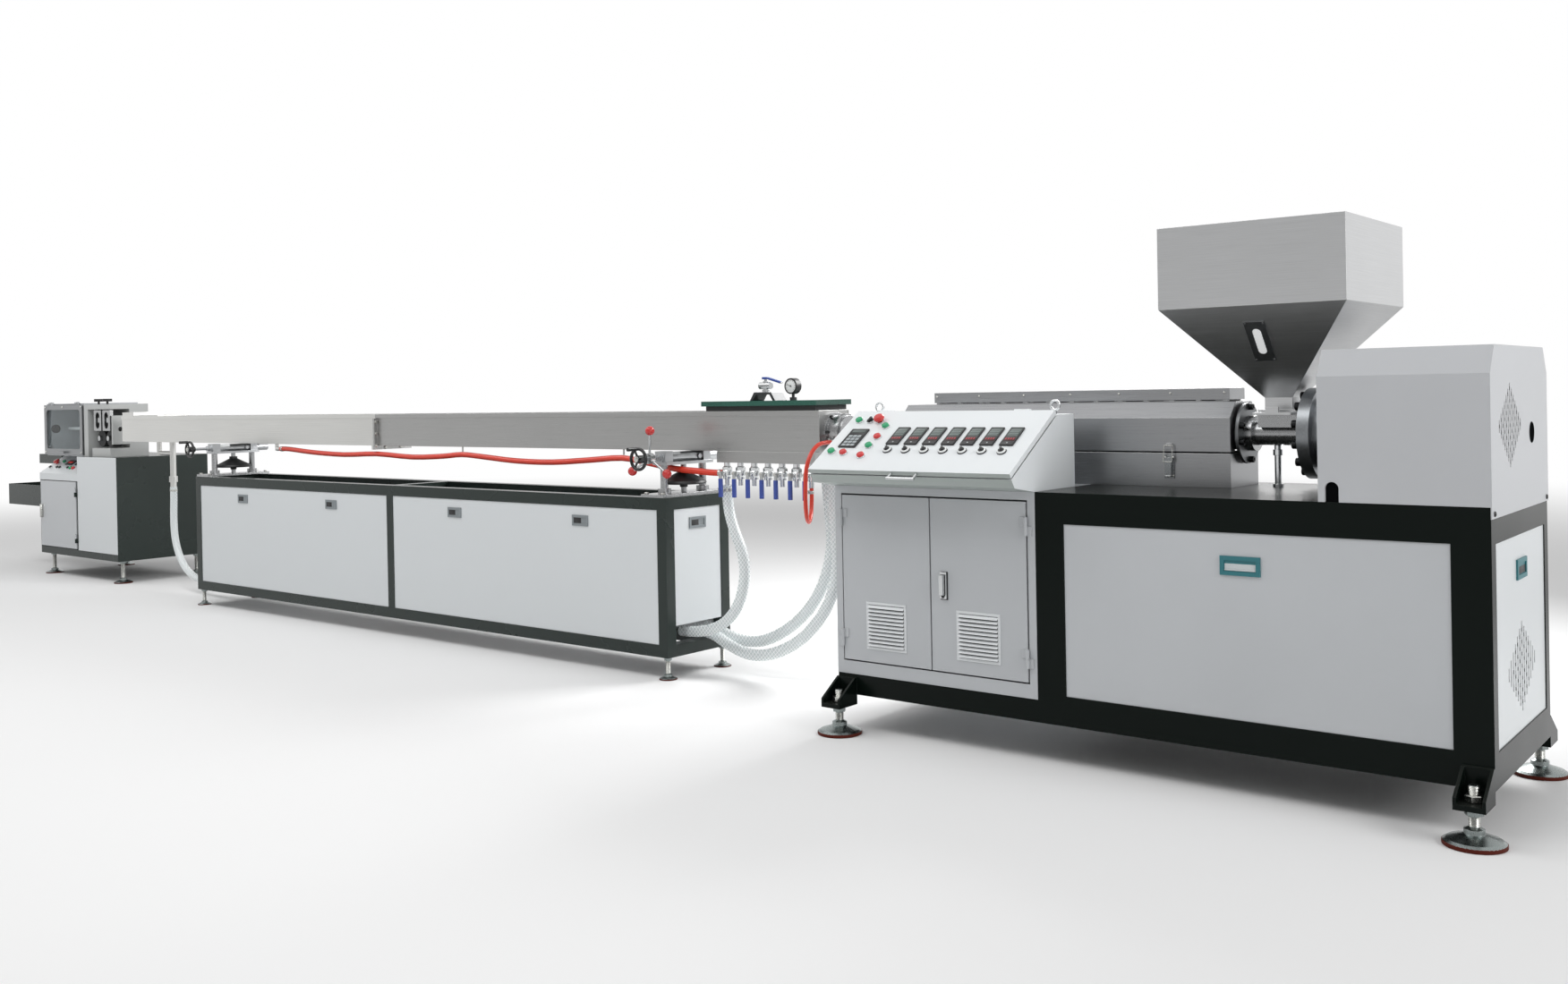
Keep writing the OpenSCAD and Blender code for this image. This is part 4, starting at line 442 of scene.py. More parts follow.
cover_coat = painted("gearbox_cover_coat", "babcbf", "d8d8d8", 0.34, 900.0, 0.05, 0.25)
coat_nodes(cover_coat, "gearbox_cover")
zinc = bright_metal("zinc_plate", "c9c9c4", 0.26)
bolt_black = bright_metal("black_oxide", "2a2b2c", 0.42)
screw = turned([(0, 7), (1.6, 7), (3.6, 5.2), (4.2, 3), (4.2, 1.6), (2.6, 1.6)], 24)
settle(screw, "skirt_screws", bolt_black,
       [facing_to(on_line(3, y, 816), (1, 0, 0)) for y in (24, 656)])

# BEARING AND BARREL FLANGES
# Turned steel flanges, oiled and dark, drawn together by black socket screws round the screw axis.
axis_y, axis_z = 496, 1000


def bolt_circle(x, radius, degrees, way):
    """Places of screw heads on a circle round the screw axis."""
    return [facing_to(on_line(x, axis_y + radius * math.cos(a), axis_z + radius * math.sin(a)), (way, 0, 0))
            for a in map(math.radians, degrees)]


coat_nodes(bright_metal("flange_steel", "94979a", 0.34, 160.0), "bearing_flange")
coat_nodes(bright_metal("barrel_steel", "8b8d8f", 0.42, 240.0), "barrel")
head = turned([(0, 12.5), (17, 12.5), (18.5, 11), (18.5, 6.6), (9.5, 6.6)], 24)
settle(head, "bearing_flange_bolts", bolt_black,
       bolt_circle(-600, 118, range(15, 360, 30), -1))
head = turned([(0, 10), (13, 10), (14.5, 8.8), (14.5, 5.2), (8, 5.2)], 24)
settle(head, "barrel_flange_bolts", bolt_black,
       bolt_circle(-790, 82, (-18, 18, 90, 162, 198, 270), 1))

# FEED SECTION AND DIE HEAD
# Machined steel left bright: the feed section with its collar and block, the die head and the sizing plate;
# the cooling-water pipe, eyes, handle and valves are chromed.
machined = bright_metal("machined_steel", "a9aaab", 0.24, 420.0)
chrome = bright_metal("chrome_plate", "d3d5d6", 0.12, 500.0)
coat_nodes(machined, "feed_throat", "die_head", "trough_end_plate", "support_posts")
coat_nodes(chrome, "cooling_pipe", "lifting_eyes", "console_handle", "ball_valves")

# HOPPER
# Folded and welded stainless sheet, brushed along its length, with an outlet box on the slide gate and a
# long sight window in the front slope.
brush_marks, stretch, brush_out = effect(
    "brush_marks", ("Stretch", "Vector", (6.0, 6.0, 700.0)), {"Lines": "Float", "Cloud": "Float"})
where = add_node(brush_marks, "TexCoord").outputs["Object"]
drawn = add_node(brush_marks, "VectorMath", {0: where, 1: stretch}, operation="MULTIPLY").outputs["Vector"]
fibre = add_node(brush_marks, "TexNoise", {"Vector": drawn, "Scale": 1.0, "Detail": 5.0, "Roughness": 0.7})
haze = add_node(brush_marks, "TexNoise", {"Vector": where, "Scale": 2.0, "Detail": 3.0})
lead(brush_marks, brush_out, {"Lines": fibre.outputs["Fac"], "Cloud": haze.outputs["Fac"]})


def brushed(name, code, gloss, stretch):
    """Brushed stainless sheet: fine lines, soft clouding and bright edges."""
    finish, tree, shader = start_finish(name)
    marks = place_effect(tree, brush_marks, Stretch=stretch)
    edges = place_effect(tree, eased_edge, Radius=0.002)
    lined = blend_colour(tree, marks["Lines"], shade(code, 0.72), shade(code, 1.25))
    clouded = blend_colour(tree, spread(tree, marks["Cloud"], 0.0, 0.35), lined, shade(code, 0.7))
    lead(tree, shader, {
        "Base Color": blend_colour(tree, spread(tree, edges["Edge"], 0.0, 0.5), clouded, tone("e9e9e7")),
        "Metallic": 1.0,
        "Roughness": spread(tree, marks["Lines"], gloss - 0.08, gloss + 0.14),
        "Normal": relief(tree, marks["Lines"], 0.08, 0.0002, Normal=edges["Normal"])})
    return finish


coat_nodes(brushed("hopper_stainless", "d2d3d4", 0.30, (5.0, 5.0, 800.0)), "hopper", "slide_gate")
oiled_steel = bright_metal("oiled_steel", "6c6e70", 0.38, 160.0)
coat_nodes(oiled_steel, "hopper_window")

# HOSE FINISHES AND CLIPS
# The clear vinyl is milky from its braid, the red hose is smooth polyurethane. Plated worm-drive clips hold
# the hoses on their spigots: a band with a raised screw housing.
vinyl, tree, shader = start_finish("clear_vinyl")
where = add_node(tree, "TexCoord").outputs["Object"]
strands = {}
for strand, lean in enumerate((1.0, -1.0)):
    slant = add_node(tree, "Mapping", {"Vector": where, "Scale": (1.0, 1.0, lean)}).outputs["Vector"]
    weave = add_node(tree, "TexWave", {"Vector": slant, "Scale": 34.0}, bands_direction="DIAGONAL")
    strands[strand] = weave.outputs["Fac"]
braid = add_node(tree, "Math", strands, operation="MAXIMUM").outputs["Value"]
thread = add_node(tree, "MapRange", {"Value": braid, "From Min": 0.86}).outputs["Result"]
lead(tree, shader, {
    "Base Color": blend_colour(tree, thread, tone("e3eaeb"), tone("f8fafa")),
    "Roughness": spread(tree, thread, 0.18, 0.42),
    "Transmission Weight": 0.2})
for piece in clear_hoses:
    piece.data.materials.append(vinyl)
red_rubber = plastic("red_polyurethane", "d63c28", 0.3)
for piece in red_hoses:
    piece.data.materials.append(red_rubber)


def hose_clip(bore):
    """A worm-drive clip on Z for a hose of the given outer radius."""
    inner, outer = bore + 0.6, bore + 1.4
    band = turned([(-6, inner), (-5, outer), (5, outer), (6, inner)])
    housing = block((bore, -9, -7), (bore + 9, 7, 7), 1.5)
    screw_head = turned([(0, 4.8), (6, 4.8), (7, 4), (7, 2.6), (5, 2.6)], 12)
    screw_head.data.transform(facing_to(to_metres(bore + 4.8, 6, 0), (0, 1, 0)))
    return joined([band, housing, screw_head])


clips = []
for place, heading, diameter in (
        ((-7610, 496, 618), (0, 0, -1), 42), ((-2904, 417.5, 766), (0, 0, -1), 44),
        ((-2450, 520, 838), (0, 0, -1), 46), ((-2500, 556, 838), (0, 0, -1), 46),
        ((-6218, 420, 895), (1, 0, 0), 26), ((-2941, 414.9, 833.3), (0.987, 0.157, -0.017), 26),
        ((-2472, 417.5, 768), (0, 0, -1), 16), ((-2372.4, 421, 962), (0.05, 1, 0), 16)):
    clips.append(hose_clip(diameter / 2))
    clips[-1].data.transform(facing_to(on_line(*place), heading))
settle(joined(clips), "hose_clips", zinc)


# COVER VENTS
# The vents of the gearbox cover and of the end panel are punched as staggered rows of short upright slots:
# bridges of sheet part each long slot, over a black sheet of painted shade. Black sheets of painted shade
# also close the two openings.
def vents(face_x, y, z, high, pitch, slot, reach, name, finish):
    """Bridges and a black sheet of painted shade just inside a diamond of upright slots, leaving staggered
    dashes open.
    """
    row, dash = 16.0, 5.0
    bars, shade_sheets = [], []
    for column in range(-6, 7):
        half = (high / 2 - slot) * (1 - abs(column) / 7)
        shown = (high / 2 - slot) * (1 - abs(column) / (reach + 1))
        near, far = y + column * pitch - slot / 2, y + column * pitch + slot / 2
        shade_sheets.append(block((face_x - 0.8, near - 1, z - half - 1),
                          (face_x - 0.25, far + 1, z + half + 1), 0.1, on_line))
        heights = [row * (column % 2 + 2 * k) for k in range(-5, 5)]
        foot = -half - 0.5
        for middle in [h for h in heights if abs(h) <= shown] + [half + dash + 0.5]:
            if middle - dash > foot:
                bars.append(block((face_x - 0.2, near - 0.2, z + foot),
                                  (face_x - 0.03, far + 0.2, z + middle - dash), 0.05, on_line))
            foot = middle + dash
    settle(joined(bars), name + "_bridges", finish)
    settle(joined(shade_sheets), name + "_mat", shade_black)


def pill(radius, half, thick):
    """A flat piece with round ends along Z, facing +Y, its sizes in millimetres."""
    radius, half, thick = to_metres(radius, half, thick)
    pick()
    bpy.ops.mesh.primitive_circle_add(vertices=40, radius=radius, fill_type="NGON",
                                      rotation=(math.pi / 2, 0, 0))
    piece = bpy.context.object
    bpy.ops.object.transform_apply(location=True, rotation=True, scale=True)
    for corner in piece.data.vertices:
        corner.co.z += half if corner.co.z > 0 else -half
    bpy.ops.object.mode_set(mode="EDIT")
    bpy.ops.mesh.select_all(action="SELECT")
    bpy.ops.mesh.extrude_region_move(TRANSFORM_OT_translate={"value": (0, -thick, 0)})
    bpy.ops.mesh.inset(thickness=0.0008, depth=0.0003)
    bpy.ops.mesh.select_all(action="SELECT")
    bpy.ops.mesh.normals_make_consistent(inside=False)
    bpy.ops.object.mode_set(mode="OBJECT")
    return piece


# A black without sheen that stands in for the shade inside slots and openings: painted shade.
shade_black = plastic("filter_mat", "0e0f10", 0.9, 0.0)
vents(3, 210.8, 1033, 236, 20, 8, 6, "cover_vent", cover_coat)
vents(-3, 340, 385, 260, 26, 10, 4, "end_vent", loose_coat)
settle(pill(17.8, 18, 1), "cover_arch_shade", shade_black, at(-384, 6, 852))
hole_cap = turned([(0, 29.2), (0.6, 29.2), (1.4, 28), (1.4, 26.2), (0.4, 25)], 40)
settle(hole_cap, "cover_hole_shade", shade_black, facing_to(on_line(3, 472, 1006), (1, 0, 0)))


# HOPPER SIGHT GLASS
# A clear acrylic lens, milky from granules and given a faint painted glow, set in the slot of the window
# plate, and four small screws that hold the plate on the slope.
def lit(name, code, strength):
    """A finish that glows."""
    finish, tree, shader = start_finish(name)
    colour = (*tone(code), 1.0)
    lead(tree, shader, {
        "Base Color": colour, "Emission Color": colour, "Emission Strength": strength, "Roughness": 0.3})
    return finish


slope = at(-682.5, 218, 1383) @ Matrix.Rotation(math.atan(236 / 273), 4, "X")
# The lens glows faintly though it is no lamp: painted light.
settle(pill(12.6, 35, 1.4), "sight_lens", lit("painted_glow_acrylic", "f2f3f3", 0.25),
       slope @ Matrix.Translation(to_metres(0, -2, -135)))
screw = turned([(0, 3), (1, 3), (1.8, 2), (1.8, 1), (1.2, 1)], 14)
settle(screw, "window_screws", oiled_steel,
       [slope @ facing_to(to_metres(x, -4, z), (0, -1, 0)) for x in (-26.5, 26.5) for z in (-66, -204)])

# HEATER COVER
# Stainless sheet folded to a long box, hinged at the back; the ridge cap sits on spacers over the vent gap.
# Brushed along the line. Domed rivets hold the ridge cap and the latch plate.
cover_body, latch_x = "heater_cover_upper", -1003
# This steel is darker than the hopper's: painted shade standing in for the darker reflections on the cover.
jacket_steel = brushed("jacket_stainless", "a3a4a6", 0.27, (4.0, 700.0, 700.0))
coat_nodes(jacket_steel, "heater_cover_lower", "heater_cover_upper", "ridge_vent_cap")
coat_nodes(bright_metal("latch_plate", "8d9092", 0.24), "cover_latch")
rivet = turned([(0, 3.4), (0.8, 3.3), (1.8, 2.2), (2.1, 0.8)], 14)
settle(rivet, "latch_rivets", zinc,
       [facing_to(on_line(latch_x + x, 377, z), (0, -1, 0)) for x in (-13, 13) for z in (868, 926)])
lever_lip = block((-9, -4, 0), (9, 0, 6), 1.2)
settle(lever_lip, "latch_lip", chrome, at(latch_x, 366, 865))
rivet = turned([(0, 4.2), (1, 4), (2.4, 2.6), (2.8, 1)], 14)
settle(rivet, "cap_rivets", zinc,
       [facing_to(on_line(-1903 + i * 176.5, 434, 1128), (0, -1, 0)) for i in range(7)], body=cover_body)
bail_rod = turned([(0, 1.3), (0.4, 1.6), (51.6, 1.6), (52, 1.3)], 10)
bail_bar = turned([(-14.8, 1.3), (-14.4, 1.6), (14.4, 1.6), (14.8, 1.3)], 10)
bail = joined([
    repeated(bail_rod, [facing_to(on_line(latch_x + x, 362, 913), (0, 0.2, 1)) for x in (-14, 14)]),
    repeated(bail_bar, [
        facing_to(on_line(latch_x, y, z), (1, 0, 0)) for y, z in ((362, 913), (372.2, 964))])])
settle(bail, "latch_bail", zinc, body=cover_body)
sill = block((-1904, 435, 1100.2), (-836, 446, 1102.8), 0.4, on_line)
stop = block((-8, 0, 0), (8, 11.5, 5.6), 0.4)
stops = repeated(stop, [at(-1897 + i * 88.0, 434.6, 1100.3) for i in range(13)])
settle(joined([sill, stops]), "ridge_gap_stops", jacket_steel, body=cover_body)
cast_black = plastic("cast_black", "1a1b1c", 0.45)
# A black block fills the vent gap under the ridge cap: painted shade.
gap_shade_block = block((-1905, 446, 1100.5), (-835, 546, 1105.5), 0.5, on_line)
settle(gap_shade_block, "ridge_gap_shade", cast_black, body=cover_body)

# CONTROL CABINET AND DOORS
# Folded sheet box with two doors on pin hinges, all in the light coat, made a touch darker as painted shade
# from the console above. Each door carries a moulded vent: a flat frame with eleven sloping slats over the
# punched slots.
# This coat is darker than the panels' to paint in the shade under the console: painted shade.
cabinet_coat = painted("cabinet_coat", "b6b9bc", "d6d7d8", 0.34, 900.0, 0.05)
coat_nodes(cabinet_coat, "control_cabinet", "cabinet_door_left", "cabinet_door_right")
coat_nodes(chrome, "door_lock")
vent_plastic = plastic("vent_plastic", "d6d9db", 0.42)
for body, middle in (("cabinet_door_left", -1834.25), ("cabinet_door_right", -1479.75)):
    parts = [block((middle - 80, -6.5, z), (middle + 80, -4, z + 9), 0.6, on_line) for z in (288, 438)]
    for x in (middle - 80, middle + 71):
        parts.append(block((x, -6.4, 297.2), (x + 9, -4, 437.8), 0.6, on_line))
    slat = block((-71.2, -0.8, -5.6), (71.2, 0.8, 5.6), 0.5)
    slat.data.transform(Matrix.Rotation(math.radians(-38), 4, "X"))
    parts.append(repeated(slat, [at(middle, -7.6, 303.5 + 12.8 * i) for i in range(11)]))
    settle(joined(parts), body + "_vent", vent_plastic, body=body)
    # A black sheet behind the slats stands in for the shade inside the vent: painted shade.
    backing = block((middle - 71.5, -4.6, 296.8), (middle + 71.5, -4.05, 438.2), 0.2, on_line)
    settle(backing, body + "_vent_back", shade_black, body=body)
lock_seal = joined([block((-1619.5, -5.2, 477), (-1590.5, -4.05, 568), 0.4, on_line),
                    block((-1614.2, -12.4, 490), (-1595.8, -11.9, 559), 0.1, on_line)])
settle(lock_seal, "lock_seal", black_plastic, body="cabinet_door_right")
lock_barrel = turned([(0, 5.2), (2, 5.2), (3, 4.4), (3, 1.2), (1, 1.2)], 20)
settle(lock_barrel, "lock_barrel", bolt_black, facing_to(on_line(-1605, -12, 488), (0, -1, 0)),
       "cabinet_door_right")

# CONSOLE
# Sheet-metal desk in a near-white coat, with painted shade on its downward faces, and a lid that tilts up
# on two hinges. The lid carries seven temperature controllers with a knob below each, a drive keypad, seven
# push buttons, a selector and a stop button.
console_coat = painted("console_coat", "eaeef0", "f3f4f4", 0.34, 900.0, 0.04)
tree = console_coat.node_tree
base_colour = tree.nodes["Principled BSDF"].inputs["Base Color"]
# Faces that point down blend to a darker grey: painted shade, not a second colour of the coat.
heading = add_node(tree, "NewGeometry").outputs["True Normal"]
fall = add_node(tree, "SeparateXYZ", {"Vector": heading}).outputs["Z"]
painted_under_shade = add_node(tree, "MapRange", {"Value": fall, "From Min": -0.08, "From Max": -0.30}).outputs["Result"]
face_tone = base_colour.links[0].from_socket
tree.links.new(blend_colour(tree, painted_under_shade, face_tone, tone("a3aba8")), base_colour)
coat_nodes(console_coat, "console_housing", "console_lid")


def framed(low, high, edge, border, depth):
    """A block with a sunk panel in its upper face."""
    piece = block(low, high, edge)
    pick(piece)
    bpy.context.tool_settings.mesh_select_mode = (False, False, True)
    bpy.ops.object.mode_set(mode="EDIT")
    bpy.ops.mesh.select_all(action="DESELECT")
    bpy.ops.object.mode_set(mode="OBJECT")
    for side_face in piece.data.polygons:
        side_face.select = side_face.normal.z > 0.99
    bpy.ops.object.mode_set(mode="EDIT")
    bpy.ops.mesh.inset(thickness=border / 1000.0)
    bpy.ops.mesh.inset(thickness=depth / 1000.0, depth=-depth / 1000.0)
    bpy.ops.object.mode_set(mode="OBJECT")
    return piece


lid_face = at(-2040, -150, 897) @ Matrix.Rotation(math.atan(186 / 290), 4, "X")
columns = [257.2 + 71.3 * i for i in range(7)]
row = 144.7


def on_lid(x, y):
    """A place on the face of the console lid, in millimetres from its front left corner."""
    return lid_face @ Matrix.Translation(to_metres(x, y, 0))


def on_console(name, finish, slot, *sets):
    """Sets of copies on the lid as one piece; a set is a piece and its places."""
    copies = [repeated(piece, places) for piece, places in sets]
    return settle(joined(copies), name, finish, body="console_lid")


controllers, keypad = [on_lid(x, row) for x in columns], [on_lid(49, 125)]
case = framed((-24, 0, 0), (24, 96, 6), 1.2, 2, 0.8)
pad = framed((0, 0, 0), (70, 105, 6), 1.2, 3, 1)
instruments = on_console("controller_cases", black_plastic, "black_plastic",
                         (case, controllers), (pad, keypad))
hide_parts("console_instruments")
screen = block((-20, 46, 4.8), (20, 90, 5.6), 0.4)
pad_screen = block((8, 84, 4.8), (62, 98, 5.6), 0.4)
on_console("controller_screens", plastic("screen_grey", "56605d", 0.18), "black_plastic",
           (screen, controllers), (pad_screen, keypad))
band = block((-20, 22, 4.8), (20, 44, 5.6), 0.4)
on_console("controller_bands", plastic("band_red", "3c1418", 0.25), "red_plastic", (band, controllers))
cell = block((-2.8, -4.4, 5.4), (2.8, 4.4, 5.9), 0.2)
places = [on_lid(x + dx, row + 33) for x in columns for dx in (-13.5, -4.5, 4.5, 13.5)]
on_console("controller_readouts", lit("red_readout", "9c2a31", 0.12), "red_plastic", (cell, places))
line = block((-17, -0.8, 5.4), (17, 0.8, 5.8), 0.1)
places = [on_lid(x, row + y) for x in columns for y in (54, 62, 70, 78)]
on_console("controller_lines", plastic("line_grey", "98a3a0", 0.4), "light_paint", (line, places))
key = turned([(4.8, 2.6), (5.8, 2.6), (6.4, 2)], 12)
on_console("controller_keys", flap_plastic, "white_paint", (key, [on_lid(x, row + 11) for x in columns]))
key = block((-7.5, -6, 4.8), (7.5, 6, 6.2), 0.8)
places = [on_lid(66.5 + 18 * i, 136.5 + 16.5 * j) for i in range(3) for j in range(4)]
on_console("keypad_keys", plastic("key_grey", "a9b0b3", 0.45), "light_paint", (key, places))
knob_spots = [on_lid(x, 113.7) @ Matrix.Rotation(0.5, 4, "Z") for x in columns]
flat_ring = turned([(0, 16), (3, 16), (3.6, 15.2), (3.6, 12)])
on_console("knob_rings", black_plastic, "black_plastic", (flat_ring, knob_spots))
dial = turned([(3, 14.2), (7.2, 14.2), (8, 13.2), (8, 9)])
on_console("knob_dials", plastic("dial_white", "eef0ef", 0.35), "white_paint", (dial, knob_spots))
knob = joined([turned([(7, 9.8), (9.5, 9.8), (10.5, 8.8)], 28),
               block((-3.6, -9.6, 9), (3.6, 9.6, 16), 1.4)])
on_console("heater_knobs", black_plastic, "black_plastic", (knob, knob_spots))
mark = block((-0.8, 1, 15.6), (0.8, 7.8, 16.3), 0.2)
on_console("knob_marks", flap_plastic, "white_paint", (mark, knob_spots))
buttons = [on_lid(x, y) for x, y in (
    (45, 282), (91, 282), (133, 280), (175, 248), (177, 185), (172, 134), (172, 78), (39, 98), (92, 92))]
collar = turned([(0, 14.8), (4, 14.8), (5, 13.6), (5, 11), (2, 11)], 28)
on_console("button_collars", chrome, "chrome", (collar, buttons))


def button():
    """A push button's domed cap."""
    return turned([(1, 12.6), (11, 12.6), (13.2, 10.8), (13.8, 6)], 24)


green_caps = plastic("green_button", "2f9f6d", 0.25)
red_caps = plastic("red_button", "cc3a3a", 0.25)
on_console("green_buttons", green_caps, "green_glass", (button(), [buttons[i] for i in (0, 3, 5, 7)]))
on_console("red_buttons", red_caps, "red_plastic", (button(), [buttons[i] for i in (4, 6, 8)]))
selector = joined([turned([(1, 12.4), (6, 12.4), (7, 11.4)], 24),
                   block((-4, -12, 6), (4, 12, 13.8), 1.2)])
on_console("selector_switch", black_plastic, "black_plastic", (selector, [buttons[1]]))
mushroom = turned([(1, 9), (11, 9), (12, 18.5), (19, 19), (24.8, 14.5), (25.8, 6)])
on_console("stop_button", red_caps, "red_plastic", (mushroom, [buttons[2]]))

# LEVELLING FEET
# Plated pads with a swivel neck and a threaded screw; the rim of each pad is a moulded red-brown rubber
# ring. Lock nuts clamp the extruder's screws on top of their brackets.
# The pads' metal is darkened to match their dark reflections: painted shade.
coat_nodes(bright_metal("foot_plate", "8f9695", 0.26, 320.0), "levelling_feet")
foot_rubber = plastic("foot_rubber", "521c10", 0.6, 0.15)
extruder_feet = [at(x, y, 0) for x in (-38, -2002) for y in (-50, 730)]
stand_feet = [at(x, y, 0) for x in (-6807, -3105) for y in (260, 590)]
cutter_feet = [at(x, y, 0) for x in (-9220, -8206) for y in (450, 946)]
thread_pitch = 3
rings, threads = [], []
for spots, pad, bolt, spans in ((extruder_feet, 148, 26, ((48, 74), (109, 149))),
                                (stand_feet, 72, 18, ((24, 76),)),
                                (cutter_feet, 110, 24, ((36, 127),))):
    rim, rim_high = pad / 2, pad * 0.07
    ring = turned([(0, rim - 1), (1.2, rim + 1.2), (rim_high - 1, rim + 1.2),
                   (rim_high + 0.4, rim - 0.5), (rim_high + 0.6, rim - 4)], 48)
    rings.append(repeated(ring, spots))
    for low, high in spans:
        profile = [(low, bolt / 2)]
        for k in range(int((high - low) / thread_pitch)):
            start = low + thread_pitch * k
            profile += [(start + 1.3, bolt / 2 + 1), (start + 2.8, bolt / 2)]
        threads.append(repeated(turned(profile, 24), spots))
settle(joined(rings), "foot_rings", foot_rubber)
settle(joined(threads), "foot_threads", zinc)
nut = turned([(108.2, 20.5), (110, 22.8), (124, 22.8), (126, 20)], 6)
settle(nut, "foot_lock_nuts", zinc, extruder_feet)

# TROUGH STAND
# Welded square tube in a dark green-grey coat, the panels standing in its openings. The cutter's cabinet and
# chute are folded from sheet and have the same coat.
stand_coat = painted("stand_coat", "242d2a", "4a5652", 0.26, shine=0.3)
coat_nodes(stand_coat, "stand_frame", "cutter_cabinet", "discharge_chute")

# TROUGH SUPPORTS
# Two jack supports: ground posts and a screw between them, a cast lifting wheel on the screw, and a clamped
# cross tube that slides sideways by a handwheel on a long spindle. Hexagon bolts hold the base plates.
support_x = {"handwheel_left": -6757, "handwheel_right": -3155}
coat_nodes(bright_metal("support_alloy", "b4b6b8", 0.30, 300.0), "support_heads")
coat_nodes(cast_black, "lift_wheels", "star_knobs")
coat_nodes(plastic("wheel_bakelite", "161718", 0.22), "handwheel_left", "handwheel_right")
head = turned([(0, 9), (0.5, 10), (6, 10), (7.2, 8.8)], 6)
settle(head, "support_plate_bolts", zinc,
       [at(x + dx, y, 750) for x in support_x.values() for dx in (-46, 46) for y in (252, 598)])
for wheel, x in support_x.items():
    washer = turned([(0, 11.5), (1.8, 11.5), (3.2, 9), (3.4, 5)], 24)
    settle(washer, wheel + "_washer", zinc, facing_to(on_line(x, 149.5, 897), (0, -1, 0)))


# CLAMP LEVER
# A steel collar on the spindle with three bright arms that end in red plastic balls. Everything further
# from the spindle than the arms reach is red.
def split_finish(name, mask, values, near, far):
    """Two finishes on one piece, each (colour, metallic, gloss), parted by a mask made in the material."""
    finish, tree, shader = start_finish(name)
    part = mask(tree, *values)
    skin = place_effect(tree, coat_skin, Grain=900.0)["Patch"]
    colour = blend_colour(tree, part, tone(near[0]), tone(far[0]))
    lead(tree, shader, {
        "Base Color": blend_colour(tree, spread(tree, skin, 0.0, 0.18), colour, tone("7d8081")),
        "Metallic": spread(tree, part, near[1], far[1]),
        "Roughness": spread(tree, part, near[2], far[2]),
        "Normal": place_effect(tree, eased_edge, Radius=0.0012)["Normal"]})
    return finish


def outside(tree, centre, reach):
    """A mask: one outside a ball."""
    place = add_node(tree, "TexCoord").outputs["Object"]
    away = add_node(tree, "VectorMath", {0: place, 1: centre}, operation="DISTANCE").outputs["Value"]
    return add_node(tree, "Math", {0: away, 1: reach}, operation="GREATER_THAN").outputs["Value"]


clamp_finish = split_finish("clamp_parts", outside, (on_line(-3155, 227, 897), 0.0962),
                            ("c4c6c7", 1.0, 0.22), ("c3201c", 0.0, 0.25))
coat_nodes(clamp_finish, "clamp_lever")

# WATER TROUGH
# Two lengths of folded stainless channel, brushed along the line and bolted together at flanges. The left one
# has a lighter steel colour than the right. Socket screws hold the sizing plate on the right end.
coat_nodes(brushed("trough_stainless", "b2b2b1", 0.27, (3.0, 600.0, 600.0)), "trough_right", "water_manifold")
# The left length is given a lighter steel colour than the right.
coat_nodes(brushed("lighter_stainless", "dcdcd9", 0.30, (3.0, 600.0, 600.0)), "trough_left")
head = turned([(0, 8), (0.5, 8.8), (5, 8.8), (6, 7.6)], 6)
spots = [(y, z) for y in (393.5, 598.5) for z in (925, 985, 1045)] + [(y, 913) for y in (450, 542)]
settle(head, "trough_flange_bolts", zinc,
       [facing_to(on_line(x, y, z), (way, 0, 0)) for x, way in ((-5290, 1), (-5314.3, -1)) for y, z in spots])
head = turned([(0, 5.8), (4.5, 5.8), (5.5, 5), (5.5, 3), (3, 3)], 18)
settle(head, "sizing_plate_bolts", bolt_black, bolt_circle(-2404, 68, range(0, 360, 60), 1))


# VACUUM LID
# A thick plate of green float glass on a black rubber frame; on it a cast bridge carries the vacuum valve
# with a blue lever, and a gauge with a white dial stands beside it.
def see_through(name, code, passed, bending, grain, dull):
    """Clear sheet: its tint, the light it lets through, its index, and the size and dullness of scuffs."""
    finish, tree, shader = start_finish(name)
    scuffs = place_effect(tree, coat_skin, Grain=grain)["Patch"]
    lead(tree, shader, {
        "Base Color": (*tone(code), 1.0), "Transmission Weight": passed, "IOR": bending,
        "Roughness": spread(tree, scuffs, *dull)})
    return finish


coat_nodes(plastic("gasket_rubber", "1d1e1f", 0.6), "lid_gasket")
coat_nodes(see_through("green_float_glass", "2a5c4f", 0.85, 1.5, 60.0, (0.01, 0.06)), "lid_glass")
bridge_top = 1.1575
vacuum_finish = split_finish("vacuum_parts", beyond, ("Z", bridge_top),
                             ("26282a", 0.1, 0.35), ("b9bbbc", 1.0, 0.24))
coat_nodes(vacuum_finish, "vacuum_fittings")
lever = block((-26, -7.6, 85.5), (1, 7.6, 94.8), 1.6)
grip = block((0, -7.8, -4.5), (73, 7.8, 4.5), 3)
grip.data.transform(Matrix.Translation(to_metres(0, 0, 90.2)) @ Matrix.Rotation(math.radians(15.5), 4, "Y"))
settle(joined([lever, grip]), "vacuum_lever", plastic("lever_blue", "27479b", 0.3),
       at(-2746.96, 496, 1124))
dial_face = facing_to(on_line(-2616.96, 482, 1180), (0, -1, 0))


def on_dial(degrees):
    """A place turned about the middle of the gauge's dial."""
    return dial_face @ Matrix.Rotation(math.radians(degrees), 4, "Z")


